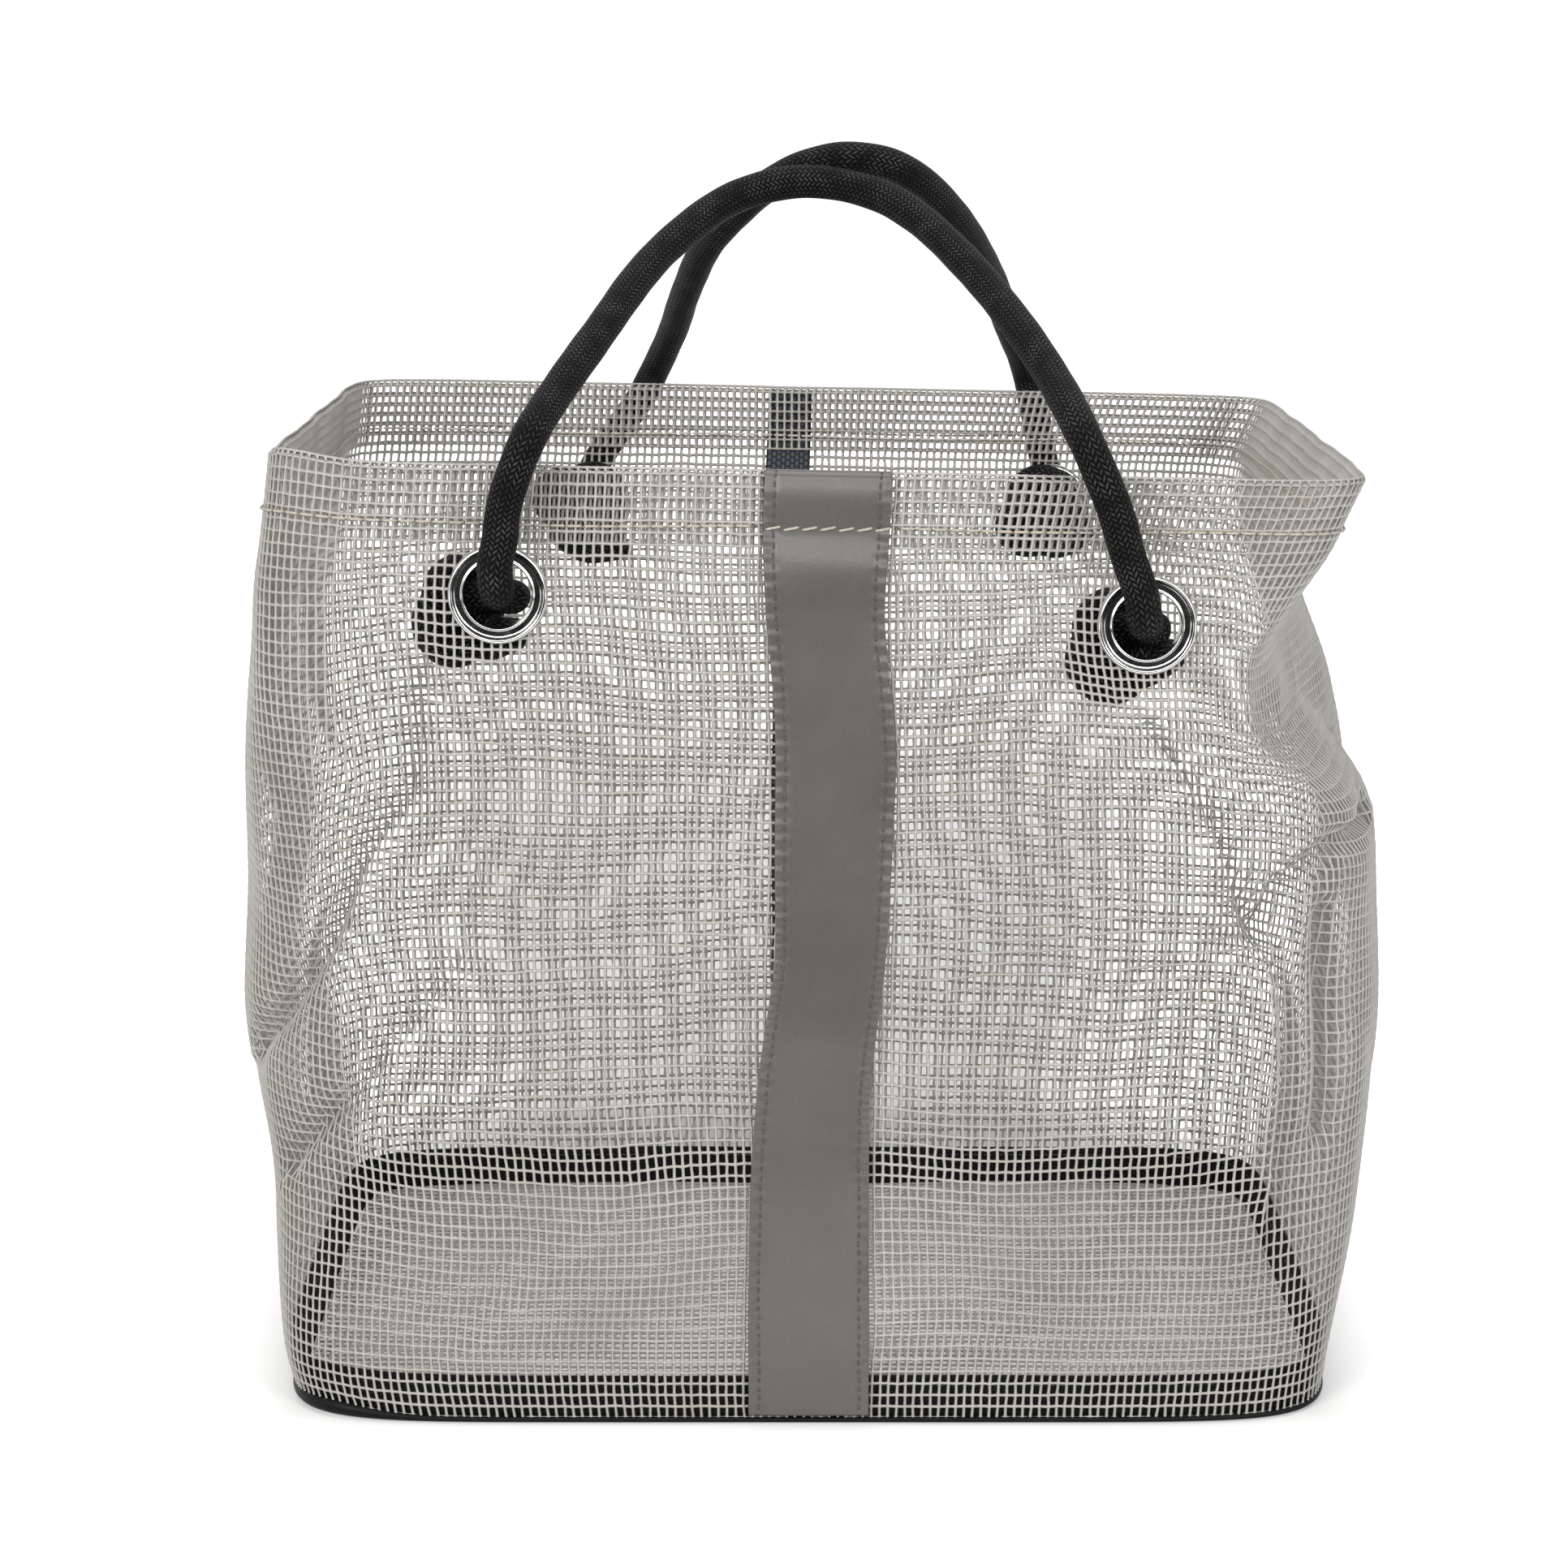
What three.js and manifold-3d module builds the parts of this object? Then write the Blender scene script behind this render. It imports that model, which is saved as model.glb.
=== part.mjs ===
// A mesh shower caddy: a tote of coated net with a leather-look strap, four eyelets and two rope handles.
// Millimetres. +X is to the right seen from the front, +Y to the back and +Z up.
// The origin is on the surface that the caddy stands on, under the middle of its bounding box.

import * as THREE from 'three';
import Module from 'manifold-3d';
import { mergeVertices } from 'three/addons/utils/BufferGeometryUtils.js';

const wasm = await Module();
wasm.setup();

// Driving dimensions of the net bag
const bagHeight = 226;
const mouthHalfWidth = 125;
const mouthHalfDepth = 90;
const netThickness = 1;
const hemDepth = 19;
const seatGap = 0.3;

// Shape of the four walls. Each row: share of the height, then how far the left, right, front and back
// walls stand from the middle as shares of the mouth's half width or half depth, and the corners' squareness.
const wallShapeShares = [
  [0.0, 1.015, 1.003, 1.055, 0.8, 9],
  [0.05, 1.04, 1.02, 1.06, 0.81, 8],
  [0.21, 1.053, 1.066, 1.075, 0.9, 7],
  [0.37, 1.097, 1.1, 1.08, 0.975, 7],
  [0.55, 1.081, 1.086, 1.06, 1.01, 7],
  [0.71, 1.072, 1.027, 1.03, 1.012, 9],
  [0.855, 1.044, 0.92, 1.01, 1.01, 13],
  [0.92, 1.02, 0.957, 1.005, 1.005, 13],
  [1.0, 1.0, 1.019, 1.0, 1.0, 13],
];

// Openings in the walls, in a plain grid that stands for the net's mesh. The columns are counted from a wall's
// middle to either side, and each row lies between two heights of the walls' own rows. The front and back
// walls stay whole behind the strap and the back tape.
const gapRows = 6;
const gapColumns = { long: 3, short: 3 };
const gapShare = 0.74;
const wholeMiddleWidth = { long: 37, short: 5 };
const gapReachShare = 0.84;

// Tape over the seam of base and walls, and tape over the upright seam inside the back wall
const seamTapeHeight = 9;
const seamTapeThickness = 1.6;
const backTapeWidth = 12.5;
const backTapeThickness = 0.8;
const backTapeCentre = -4.7;

// Strap of leather-look sheet down the front, folded over the rim
const strapWidth = 28.5;
const strapThickness = 1.2;
const strapTopCentre = 3.3;
const strapFootCentre = -0.9;
const strapInnerLength = 16;
const strapStitchInset = 2.4;

// Sewing thread
const threadWidth = 0.7;
const threadDepth = 0.4;
const hemSeamBelowRim = 12.6;

// Eyelets: a rolled spool through the net, closed over a washer inside
const eyeletBore = 15.4;
const eyeletWall = 0.7;
const eyeletFlangeDiameter = 22;
const eyeletFlangeHeight = 2.1;
// The rolled flange's curve: shares of its width from the outer edge in, and of its height
const flangeCurveShares = [[0.03, 0.55], [0.3, 0.94], [0.5, 1], [0.8, 0.88], [1, 0.4]];
const eyeletLipWidth = 1.1;
const eyeletLipHeight = 0.7;
const washerThickness = 0.8;

// Rope handles
const ropeDiameter = 8;
const ropeOverRim = 2;
const ropeFlangeGap = 0.5;
const handleMeetGap = 0.6;
const knotRopeDiameter = 6.7;
const knotLoopRadius = 7;
const knotTailLength = 9;

// Each handle: the side that it is on (-1 front, +1 back), the places of its eyelets, the height of its arch
// above the rim, and its knots. An eyelet's middle lies in from the end of the mouth by leftInset or
// rightInset, and its flange lies under the hem's seam by leftUnderSeam or rightUnderSeam. A knot lies to
// the right of and above its eyelet by its shift, and its tail points at an angle from +X through +Z. The
// route's shares are across, of half the eyelet spacing from their middle, and up: over 0 of the way from
// the rim to the arch's top, under 0 of the way from the rim to the eyelets.
const handles = [
  {
    name: 'front',
    side: -1,
    leftInset: 54,
    rightInset: 50,
    leftUnderSeam: 3.85,
    rightUnderSeam: 10.85,
    archHeight: 58.5,
    knots: {
      left: { shift: [-6, -5.5], tailDegrees: 225 },
      right: { shift: [-3, -6], tailDegrees: 250 },
    },
    routeShares: [
      [-0.983, -0.557], [-0.972, -0.342], [-0.938, -0.068], [-0.893, 0.1], [-0.827, 0.232], [-0.705, 0.437],
      [-0.581, 0.642], [-0.49, 0.755], [-0.329, 0.898], [-0.238, 0.946], [-0.135, 0.977], [-0.027, 0.986],
      [0.095, 0.968], [0.215, 0.924], [0.32, 0.85], [0.465, 0.691], [0.594, 0.507], [0.71, 0.299],
      [0.791, 0.1], [0.839, -0.056], [0.885, -0.28], [0.931, -0.578],
    ],
  },
  {
    name: 'back',
    side: 1,
    leftInset: 64.25,
    rightInset: 58.25,
    leftUnderSeam: 9.25,
    rightUnderSeam: 9.25,
    archHeight: 63,
    knots: {
      left: { shift: [-2, 2], tailDegrees: 25 },
      right: { shift: [-2, 1], tailDegrees: 150 },
    },
    routeShares: [
      [-0.925, -0.55], [-0.78, -0.18], [-0.722, 0.01], [-0.629, 0.215], [-0.561, 0.411], [-0.456, 0.634],
      [-0.279, 0.831], [-0.171, 0.914], [-0.045, 0.973], [0.097, 1.0], [0.254, 0.975], [0.382, 0.903],
      [0.474, 0.819], [0.602, 0.654], [0.707, 0.468], [0.809, 0.243], [0.902, 0.027], [0.946, -0.293],
      [0.973, -0.55],
    ],
  },
];

// Fineness of the facets
const octantSteps = 7;
const outlineSamples = 48;
const eyeletSides = 18;
const ropeSides = 8;
const handleSteps = 46;
const knotSteps = 36;
const knotSides = 6;
const cutterSides = 18;

// Materials, with the colours of the photographed caddy
const materials = {
  net: new THREE.MeshStandardMaterial({ color: 0xbdb9b2, roughness: 0.55, metalness: 0 }),
  strap: new THREE.MeshStandardMaterial({ color: 0x78726e, roughness: 0.45, metalness: 0 }),
  tape: new THREE.MeshStandardMaterial({ color: 0x1d1f22, roughness: 0.85, metalness: 0 }),
  rope: new THREE.MeshStandardMaterial({ color: 0x161616, roughness: 0.8, metalness: 0 }),
  thread: new THREE.MeshStandardMaterial({ color: 0xb9a98e, roughness: 0.7, metalness: 0 }),
  darkThread: new THREE.MeshStandardMaterial({ color: 0x4a4547, roughness: 0.7, metalness: 0 }),
  chrome: new THREE.MeshStandardMaterial({ color: 0xd5d6d8, roughness: 0.12, metalness: 1 }),
};

const caddy = new THREE.Group();

// Adds one named piece to the caddy.
function addPiece(name, geometry, material) {
  const mesh = new THREE.Mesh(geometry, material);
  mesh.name = name;
  caddy.add(mesh);
  return mesh;
}

// A copy of a geometry with only its corners' places left, and equal corners merged.
function mergeBare(geometry) {
  const plain = geometry.clone();
  plain.deleteAttribute('normal');
  plain.deleteAttribute('uv');
  return mergeVertices(plain);
}

// A geometry as a solid for cutting and joining.
function toSolid(geometry) {
  const merged = mergeBare(geometry);
  return new wasm.Manifold(new wasm.Mesh({
    numProp: 3,
    vertProperties: merged.attributes.position.array,
    triVerts: merged.index.array,
  }));
}

// A solid back as a geometry.
function toGeometry(solid) {
  const mesh = solid.getMesh();
  const geometry = new THREE.BufferGeometry();
  geometry.setAttribute('position', new THREE.BufferAttribute(mesh.vertProperties, 3));
  geometry.setIndex(new THREE.BufferAttribute(mesh.triVerts, 1));
  return geometry;
}

// The wall shape at a height: the four half sizes and the squareness, on a smooth curve through the rows.
function wallShape(z) {
  const rows = wallShapeShares;
  const share = THREE.MathUtils.clamp(z / bagHeight, 0, 1);
  let i = 0;
  while (i < rows.length - 2 && share > rows[i + 1][0]) i += 1;
  const slope = (row, column) => {
    const before = rows[Math.max(row - 1, 0)];
    const after = rows[Math.min(row + 1, rows.length - 1)];
    return (after[column] - before[column]) / (after[0] - before[0]);
  };
  const span = rows[i + 1][0] - rows[i][0];
  const t = (share - rows[i][0]) / span;
  const value = (column) => {
    const a = rows[i][column];
    const b = rows[i + 1][column];
    const c = span * slope(i, column);
    const d = span * slope(i + 1, column);
    return a + t * (c + t * (3 * (b - a) - 2 * c - d + t * (2 * (a - b) + c + d)));
  };
  return {
    left: value(1) * mouthHalfWidth,
    right: value(2) * mouthHalfWidth,
    front: value(3) * mouthHalfDepth,
    back: value(4) * mouthHalfDepth,
    squareness: value(5),
  };
}

// A point of the outer outline at a height, at an angle that runs from +X through +Y.
function outlineAt(shape, angle) {
  const c = Math.cos(angle);
  const s = Math.sin(angle);
  const power = 2 / shape.squareness;
  const x = (c < 0 ? -shape.left : shape.right) * Math.abs(c) ** power;
  const y = (s < 0 ? -shape.front : shape.back) * Math.abs(s) ** power;
  return new THREE.Vector2(x, y);
}

// The outline at a height as a ring of stations with their outward normals. It starts in the middle of the
// right wall and runs through the back, left and front walls. Stations crowd towards the corners.
function ring(z) {
  const shape = wallShape(z);
  const stations = [];
  for (let octant = 0; octant < 8; octant += 1) {
    const line = [];
    const lengths = [0];
    for (let i = 0; i <= outlineSamples; i += 1) {
      line.push(outlineAt(shape, (octant + i / outlineSamples) * Math.PI / 4));
      if (i > 0) lengths.push(lengths[i - 1] + line[i].distanceTo(line[i - 1]));
    }
    for (let k = 0; k < octantSteps; k += 1) {
      const step = k / octantSteps;
      const share = octant % 2 === 0 ? 1 - (1 - step) ** 2 : step ** 2;
      const target = share * lengths[outlineSamples];
      let i = 1;
      while (i < outlineSamples && lengths[i] < target) i += 1;
      const t = (target - lengths[i - 1]) / (lengths[i] - lengths[i - 1]);
      stations.push(line[i - 1].clone().lerp(line[i], t));
    }
  }
  return stations.map((point, i) => {
    const before = stations[(i + stations.length - 1) % stations.length];
    const after = stations[(i + 1) % stations.length];
    const normal = new THREE.Vector2(after.y - before.y, before.x - after.x).normalize();
    return { point, normal };
  });
}

// The station as a point in space, moved out by an offset.
function place(station, offset, z) {
  return new THREE.Vector3(
    station.point.x + station.normal.x * offset,
    station.point.y + station.normal.y * offset,
    z,
  );
}

// A body through stations that are loops of points. An open body gets end faces, for which the second half
// of each loop runs back beside the first half.
function loft(loops, closed) {
  const count = loops[0].length;
  const positions = loops.flat().flatMap((p) => [p.x, p.y, p.z]);
  const index = [];
  const quad = (a, b, c, d) => index.push(a, b, c, a, c, d);
  const spans = closed ? loops.length : loops.length - 1;
  for (let i = 0; i < spans; i += 1) {
    const here = i * count;
    const there = ((i + 1) % loops.length) * count;
    for (let k = 0; k < count; k += 1) {
      const next = (k + 1) % count;
      quad(here + k, here + next, there + next, there + k);
    }
  }
  if (!closed) {
    const last = (loops.length - 1) * count;
    for (let k = 0; k < count / 2 - 1; k += 1) {
      quad(k, count - 1 - k, count - 2 - k, k + 1);
      quad(last + k, last + k + 1, last + count - 2 - k, last + count - 1 - k);
    }
  }
  const geometry = new THREE.BufferGeometry();
  geometry.setAttribute('position', new THREE.Float32BufferAttribute(positions, 3));
  geometry.setIndex(index);
  return facingOut(geometry);
}

// Turns all faces over where they point in, which a negative volume shows.
function facingOut(geometry) {
  const at = geometry.attributes.position;
  const index = geometry.index.array;
  const [a, b, c] = [new THREE.Vector3(), new THREE.Vector3(), new THREE.Vector3()];
  let volume = 0;
  for (let i = 0; i < index.length; i += 3) {
    a.fromBufferAttribute(at, index[i]);
    b.fromBufferAttribute(at, index[i + 1]);
    c.fromBufferAttribute(at, index[i + 2]);
    volume += a.dot(b.cross(c));
  }
  if (volume < 0) {
    for (let i = 0; i < index.length; i += 3) {
      [index[i + 1], index[i + 2]] = [index[i + 2], index[i + 1]];
    }
  }
  return geometry;
}

// Heights at which the pieces meet
const hemBottom = bagHeight - hemDepth;
const wallTop = bagHeight - netThickness - seatGap;
const seamTapeBottom = netThickness + seatGap;
const seamTapeTop = seamTapeBottom + seamTapeHeight;
const innerFace = -netThickness - seatGap;
const middleRowShares = [0.14, 0.28, 0.42, 0.56, 0.69, 0.8, 0.87, 0.94];
const wallRows = [
  0,
  seamTapeTop,
  ...middleRowShares.map((share) => THREE.MathUtils.lerp(seamTapeTop, hemBottom, share)),
  hemBottom,
  wallTop,
];

// A seat on the front or back wall: the point on its outer face and the normal there.
function wallSeat(side, x, z) {
  const depthAt = (atX, atZ) => {
    const shape = wallShape(atZ);
    const across = Math.abs(atX) / (atX < 0 ? shape.left : shape.right);
    const out = side < 0 ? shape.front : shape.back;
    return side * out * (1 - across ** shape.squareness) ** (1 / shape.squareness);
  };
  const step = netThickness;
  const slopeX = (depthAt(x + step, z) - depthAt(x - step, z)) / (2 * step);
  const slopeZ = (depthAt(x, z + step) - depthAt(x, z - step)) / (2 * step);
  return {
    point: new THREE.Vector3(x, depthAt(x, z), z),
    normal: new THREE.Vector3(-slopeX, 1, -slopeZ).normalize().multiplyScalar(side),
  };
}

// The eyelets' places, four in all, each with a matrix that takes its axis from +Z to the wall's normal.
const boreRadius = eyeletBore / 2;
const barrelRadius = boreRadius + eyeletWall;
const flangeRadius = eyeletFlangeDiameter / 2;
const seamHeight = bagHeight - hemSeamBelowRim;
const eyelets = handles.flatMap((handle) => ['left', 'right'].map((end) => {
  const x = end === 'left' ? handle.leftInset - mouthHalfWidth : mouthHalfWidth - handle.rightInset;
  const underSeam = end === 'left' ? handle.leftUnderSeam : handle.rightUnderSeam;
  const z = seamHeight - threadWidth / 2 - underSeam - flangeRadius;
  const seat = wallSeat(handle.side, x, z);
  const turn = new THREE.Quaternion().setFromUnitVectors(new THREE.Vector3(0, 0, 1), seat.normal);
  const matrix = new THREE.Matrix4().compose(seat.point, turn, new THREE.Vector3(1, 1, 1));
  return { handle, end, seat, matrix };
}));

// A round cutter on every eyelet's axis, through the whole thickness of what lies there.
function eyeletCutters(radius) {
  const length = 2 * eyeletFlangeDiameter;
  return eyelets.map((eyelet) => {
    const cutter = new THREE.CylinderGeometry(radius, radius, length, cutterSides);
    cutter.rotateX(Math.PI / 2);
    cutter.applyMatrix4(eyelet.matrix);
    return toSolid(cutter);
  });
}

// Takes all cutters out of a geometry.
function cut(geometry, cutters) {
  return toGeometry(cutters.reduce((solid, cutter) => solid.subtract(cutter), toSolid(geometry)));
}

// Cutters for one wall's openings. They reach from the middle of the bag out through the wall.
function meshCutters(alongX, outward) {
  const kind = alongX ? 'long' : 'short';
  const reach = gapReachShare * (alongX ? mouthHalfWidth : mouthHalfDepth);
  const start = wholeMiddleWidth[kind] / 2;
  const pitch = (reach - start) / gapColumns[kind];
  const depth = alongX ? mouthHalfDepth : mouthHalfWidth;
  const cutters = [];
  for (let row = 1; row <= gapRows; row += 1) {
    const [low, high] = [wallRows[row], wallRows[row + 1]];
    for (let column = 0; column < gapColumns[kind]; column += 1) {
      for (const side of [-1, 1]) {
        const across = side * (start + (column + 0.5) * pitch);
        const size = [pitch * gapShare, depth, (high - low) * gapShare];
        const centre = [across, outward * depth, (low + high) / 2];
        const order = alongX ? [0, 1, 2] : [1, 0, 2];
        const box = new THREE.BoxGeometry(...order.map((i) => size[i]));
        box.translate(...order.map((i) => centre[i]));
        cutters.push(toSolid(box));
      }
    }
  }
  return cutters;
}

// Net walls. The real net is one strip with a seam at the back. Here it is parted at its four corners.
const wallNames = ['wall_net_back', 'wall_net_left', 'wall_net_front', 'wall_net_right'];
const rings = wallRows.map(ring);
const barrelCutters = eyeletCutters(barrelRadius + seatGap);
for (const [wall, name] of wallNames.entries()) {
  const loops = [];
  const firstStation = (2 * wall + 1) * octantSteps;
  for (let k = 0; k <= 2 * octantSteps; k += 1) {
    const i = (firstStation + k) % rings[0].length;
    const edge = (k === 0 ? 1 : 0) - (k === 2 * octantSteps ? 1 : 0);
    const points = (offset) => rings.map((row, level) => {
      const station = row[i];
      const point = place(station, offset, wallRows[level]);
      // The two end stations draw back along the wall by half the gap.
      point.x -= station.normal.y * edge * seatGap / 2;
      point.y += station.normal.x * edge * seatGap / 2;
      return point;
    });
    loops.push([...points(0), ...points(-netThickness).reverse()]);
  }
  const meshed = meshCutters(wall % 2 === 0, wall === 0 || wall === 3 ? 1 : -1);
  addPiece(name, cut(loft(loops, false), [...barrelCutters, ...meshed]), materials.net);
}

// Hem: the strip's top, folded in over the rim. It makes way for the washers.
const rimRing = ring(bagHeight);
const capRing = ring(wallTop);
const hemRing = ring(hemBottom);
const hemLoops = rimRing.map((station, i) => [
  place(station, 0, bagHeight),
  place(capRing[i], 0, bagHeight - netThickness),
  place(capRing[i], innerFace, bagHeight - netThickness),
  place(hemRing[i], innerFace, hemBottom),
  place(hemRing[i], innerFace - netThickness, hemBottom),
  place(station, innerFace - netThickness, bagHeight),
]);
addPiece('rim_hem', cut(loft(hemLoops, true), eyeletCutters(flangeRadius + seatGap)), materials.net);

// Base: a sheet of the same net inside the walls' foot.
const baseOutline = ring(0).map((station) => place(station, innerFace, 0));
const baseShape = new THREE.Shape(baseOutline.map((p) => new THREE.Vector2(p.x, p.y)));
const baseSheet = new THREE.ExtrudeGeometry(baseShape, { depth: netThickness, bevelEnabled: false });
addPiece('base_net', baseSheet, materials.net);

// Tape folded over the seam of the base and the walls. It stands inside, round the foot of the walls.
const tapeFootRing = ring(seamTapeBottom);
const tapeTopRing = ring(seamTapeTop);
const tapeLoops = tapeFootRing.map((station, i) => [
  place(station, innerFace, seamTapeBottom),
  place(tapeTopRing[i], innerFace, seamTapeTop),
  place(tapeTopRing[i], innerFace - seamTapeThickness, seamTapeTop),
  place(station, innerFace - seamTapeThickness, seamTapeBottom),
]);
addPiece('base_seam_tape', loft(tapeLoops, true), materials.tape);

// A band that lies flat on the front or back wall, between two offsets from the wall's outer face.
// It has a row at each of its heights and a centre and a width at each of them.
function wallBand(side, heights, near, far, centreAt, width) {
  const row = (z, edge, offset) => {
    const x = centreAt(z) + edge * width / 2;
    const shape = wallShape(z);
    const out = side < 0 ? shape.front : shape.back;
    return new THREE.Vector3(x, side * (out + offset), z);
  };
  const loops = [-1, 1].map((edge) => [
    ...heights.map((z) => row(z, edge, near)),
    ...heights.map((z) => row(z, edge, far)).reverse(),
  ]);
  return loft(loops, false);
}

// Heights of the wall's rows from one height to another, with both.
function rowsBetween(low, high) {
  return [low, ...wallRows.filter((z) => z > low && z < high), high];
}

const backTape = wallBand(
  1,
  rowsBetween(seamTapeTop + seatGap, hemBottom - seatGap),
  innerFace - backTapeThickness,
  innerFace,
  () => backTapeCentre,
  backTapeWidth,
);
addPiece('back_seam_tape', backTape, materials.tape);

// Strap: up the front from the foot, over the rim and down inside the hem.
function strapCentre(z) {
  return THREE.MathUtils.lerp(strapFootCentre, strapTopCentre, z / bagHeight);
}

const strapRows = rowsBetween(seatGap, bagHeight);
const strapInside = innerFace - netThickness - seatGap;
const strapFar = seatGap + strapThickness;
const strapLoops = [-1, 1].map((edge) => {
  const point = (z, offset, atZ = z) => new THREE.Vector3(
    strapCentre(z) + edge * strapWidth / 2,
    -(wallShape(z).front + offset),
    atZ,
  );
  const over = bagHeight + seatGap;
  const end = bagHeight - strapInnerLength;
  return [
    ...strapRows.map((z) => point(z, strapFar)),
    point(bagHeight, strapFar, over + strapThickness),
    point(bagHeight, strapInside - strapThickness, over + strapThickness),
    point(end, strapInside - strapThickness),
    point(end, strapInside),
    point(bagHeight, strapInside, over),
    point(bagHeight, seatGap, over),
    ...strapRows.map((z) => point(z, seatGap)).reverse(),
  ];
});
addPiece('front_strap', loft(strapLoops, false), materials.strap);

// Thread along the strap's edges
const strapThreadNear = strapFar + seatGap;
const strapThreadFar = strapThreadNear + threadDepth;
for (const [name, edge] of [['strap_thread_left', -1], ['strap_thread_right', 1]]) {
  const out = edge * (strapWidth / 2 - strapStitchInset);
  const centreAt = (z) => strapCentre(z) + out;
  const band = wallBand(-1, strapRows, strapThreadNear, strapThreadFar, centreAt, threadWidth);
  addPiece(name, band, materials.darkThread);
}

// Thread of the hem's seam: round the outside of the walls, and over the strap and its threads.
const overStrap = strapThreadFar + seatGap;
const seamLoop = (point, normal, offset) => {
  const corner = (out, up) => place({ point, normal }, offset + out, seamHeight + up);
  return [
    corner(0, -threadWidth / 2),
    corner(threadDepth, -threadWidth / 2),
    corner(threadDepth, threadWidth / 2),
    corner(0, threadWidth / 2),
  ];
};
const seamRing = ring(seamHeight);
const frontMiddle = 6 * octantSteps;
const seamLoops = seamRing.flatMap((station, i) => {
  if (i !== frontMiddle) return [seamLoop(station.point, station.normal, seatGap)];
  const centre = strapCentre(seamHeight);
  const side = strapWidth / 2 + seatGap;
  const rise = threadWidth;
  return [
    [centre - side - rise, seatGap],
    [centre - side, overStrap],
    [centre + side, overStrap],
    [centre + side + rise, seatGap],
  ].map(([x, offset]) => {
    const point = new THREE.Vector2(x, station.point.y);
    return seamLoop(point, station.normal, offset);
  });
});
addPiece('hem_thread', loft(seamLoops, true), materials.thread);

// Eyelet: a spool with a rolled flange outside and a lip inside, closed over the washer.
const washerNear = innerFace;
const lipNear = washerNear - washerThickness - seatGap;
const lipFar = lipNear - eyeletLipHeight;
const eyeletProfile = [
  [boreRadius, lipFar],
  [barrelRadius + eyeletLipWidth, lipFar],
  [barrelRadius + eyeletLipWidth, lipNear],
  [barrelRadius, lipNear],
  [barrelRadius, seatGap],
  [flangeRadius, seatGap],
  ...flangeCurveShares.map(([width, height]) => [
    flangeRadius - width * (flangeRadius - boreRadius),
    height * eyeletFlangeHeight,
  ]),
];
const washerProfile = [
  [barrelRadius + seatGap, washerNear],
  [barrelRadius + seatGap, washerNear - washerThickness],
  [flangeRadius, washerNear - washerThickness],
  [flangeRadius, washerNear],
];

// A ring turned round +Z from a closed profile of radius and height.
function turned(profile) {
  const points = [...profile, profile[0]].map(([radius, height]) => new THREE.Vector2(radius, height));
  const geometry = new THREE.LatheGeometry(points, eyeletSides);
  geometry.rotateX(Math.PI / 2);
  return toGeometry(toSolid(facingOut(mergeBare(geometry))));
}

// Rope: where it bends up outside each eyelet, and where its knot lies inside.
const ropeRadius = ropeDiameter / 2;
const pivotReach = eyeletFlangeHeight + ropeFlangeGap + ropeRadius;
const knotRadius = knotRopeDiameter / 2;
// A torus knot reaches one and a half radii out from its middle, and half a radius to either face.
const knotReach = 1.5 * knotLoopRadius;
const knotHalfDepth = knotLoopRadius / 2 + knotRadius;
const knotDepth = -lipFar + seatGap + knotHalfDepth;

// A round bar from one point to another.
function bar(from, to, radius) {
  const geometry = new THREE.CylinderGeometry(radius, radius, from.distanceTo(to), ropeSides);
  const along = to.clone().sub(from).normalize();
  const turn = new THREE.Quaternion().setFromUnitVectors(new THREE.Vector3(0, 1, 0), along);
  const middle = from.clone().lerp(to, 0.5);
  return geometry.applyMatrix4(new THREE.Matrix4().compose(middle, turn, new THREE.Vector3(1, 1, 1)));
}

for (const eyelet of eyelets) {
  const { handle, end, seat, matrix } = eyelet;
  const label = `${handle.name}_${end}`;
  const ringMesh = addPiece(`eyelet_${label}`, turned(eyeletProfile), materials.chrome);
  ringMesh.applyMatrix4(matrix);
  const washer = addPiece(`washer_${label}`, turned(washerProfile), materials.chrome);
  washer.applyMatrix4(matrix);

  // The rope's end: a stub through the eyelet with a round tip at the hinge, an overhand knot and its tail.
  eyelet.pivot = seat.point.clone().addScaledVector(seat.normal, pivotReach);
  const inside = seat.point.clone().addScaledVector(seat.normal, -knotDepth);
  const { shift, tailDegrees } = handle.knots[end];
  const centre = inside.clone().add(new THREE.Vector3(shift[0], 0, shift[1]));
  const tip = new THREE.SphereGeometry(ropeRadius, ropeSides, ropeSides / 2);
  tip.translate(eyelet.pivot.x, eyelet.pivot.y, eyelet.pivot.z);
  const knot = new THREE.TorusKnotGeometry(knotLoopRadius, knotRadius, knotSteps, knotSides, 2, 3);
  const turn = new THREE.Quaternion().setFromUnitVectors(new THREE.Vector3(0, 0, 1), seat.normal);
  knot.applyMatrix4(new THREE.Matrix4().compose(centre, turn, new THREE.Vector3(1, 1, 1)));
  const tailAngle = THREE.MathUtils.degToRad(tailDegrees);
  const outward = new THREE.Vector3(Math.cos(tailAngle), 0, Math.sin(tailAngle));
  const tailEnd = centre.clone().addScaledVector(outward, knotReach + knotTailLength);
  const rope = [
    toSolid(bar(eyelet.pivot, inside, ropeRadius)),
    toSolid(tip),
    toSolid(knot),
    toSolid(bar(centre, tailEnd, knotRadius)),
  ].reduce((whole, piece) => whole.add(piece));
  addPiece(`rope_end_${label}`, toGeometry(rope), materials.rope);
}

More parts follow.
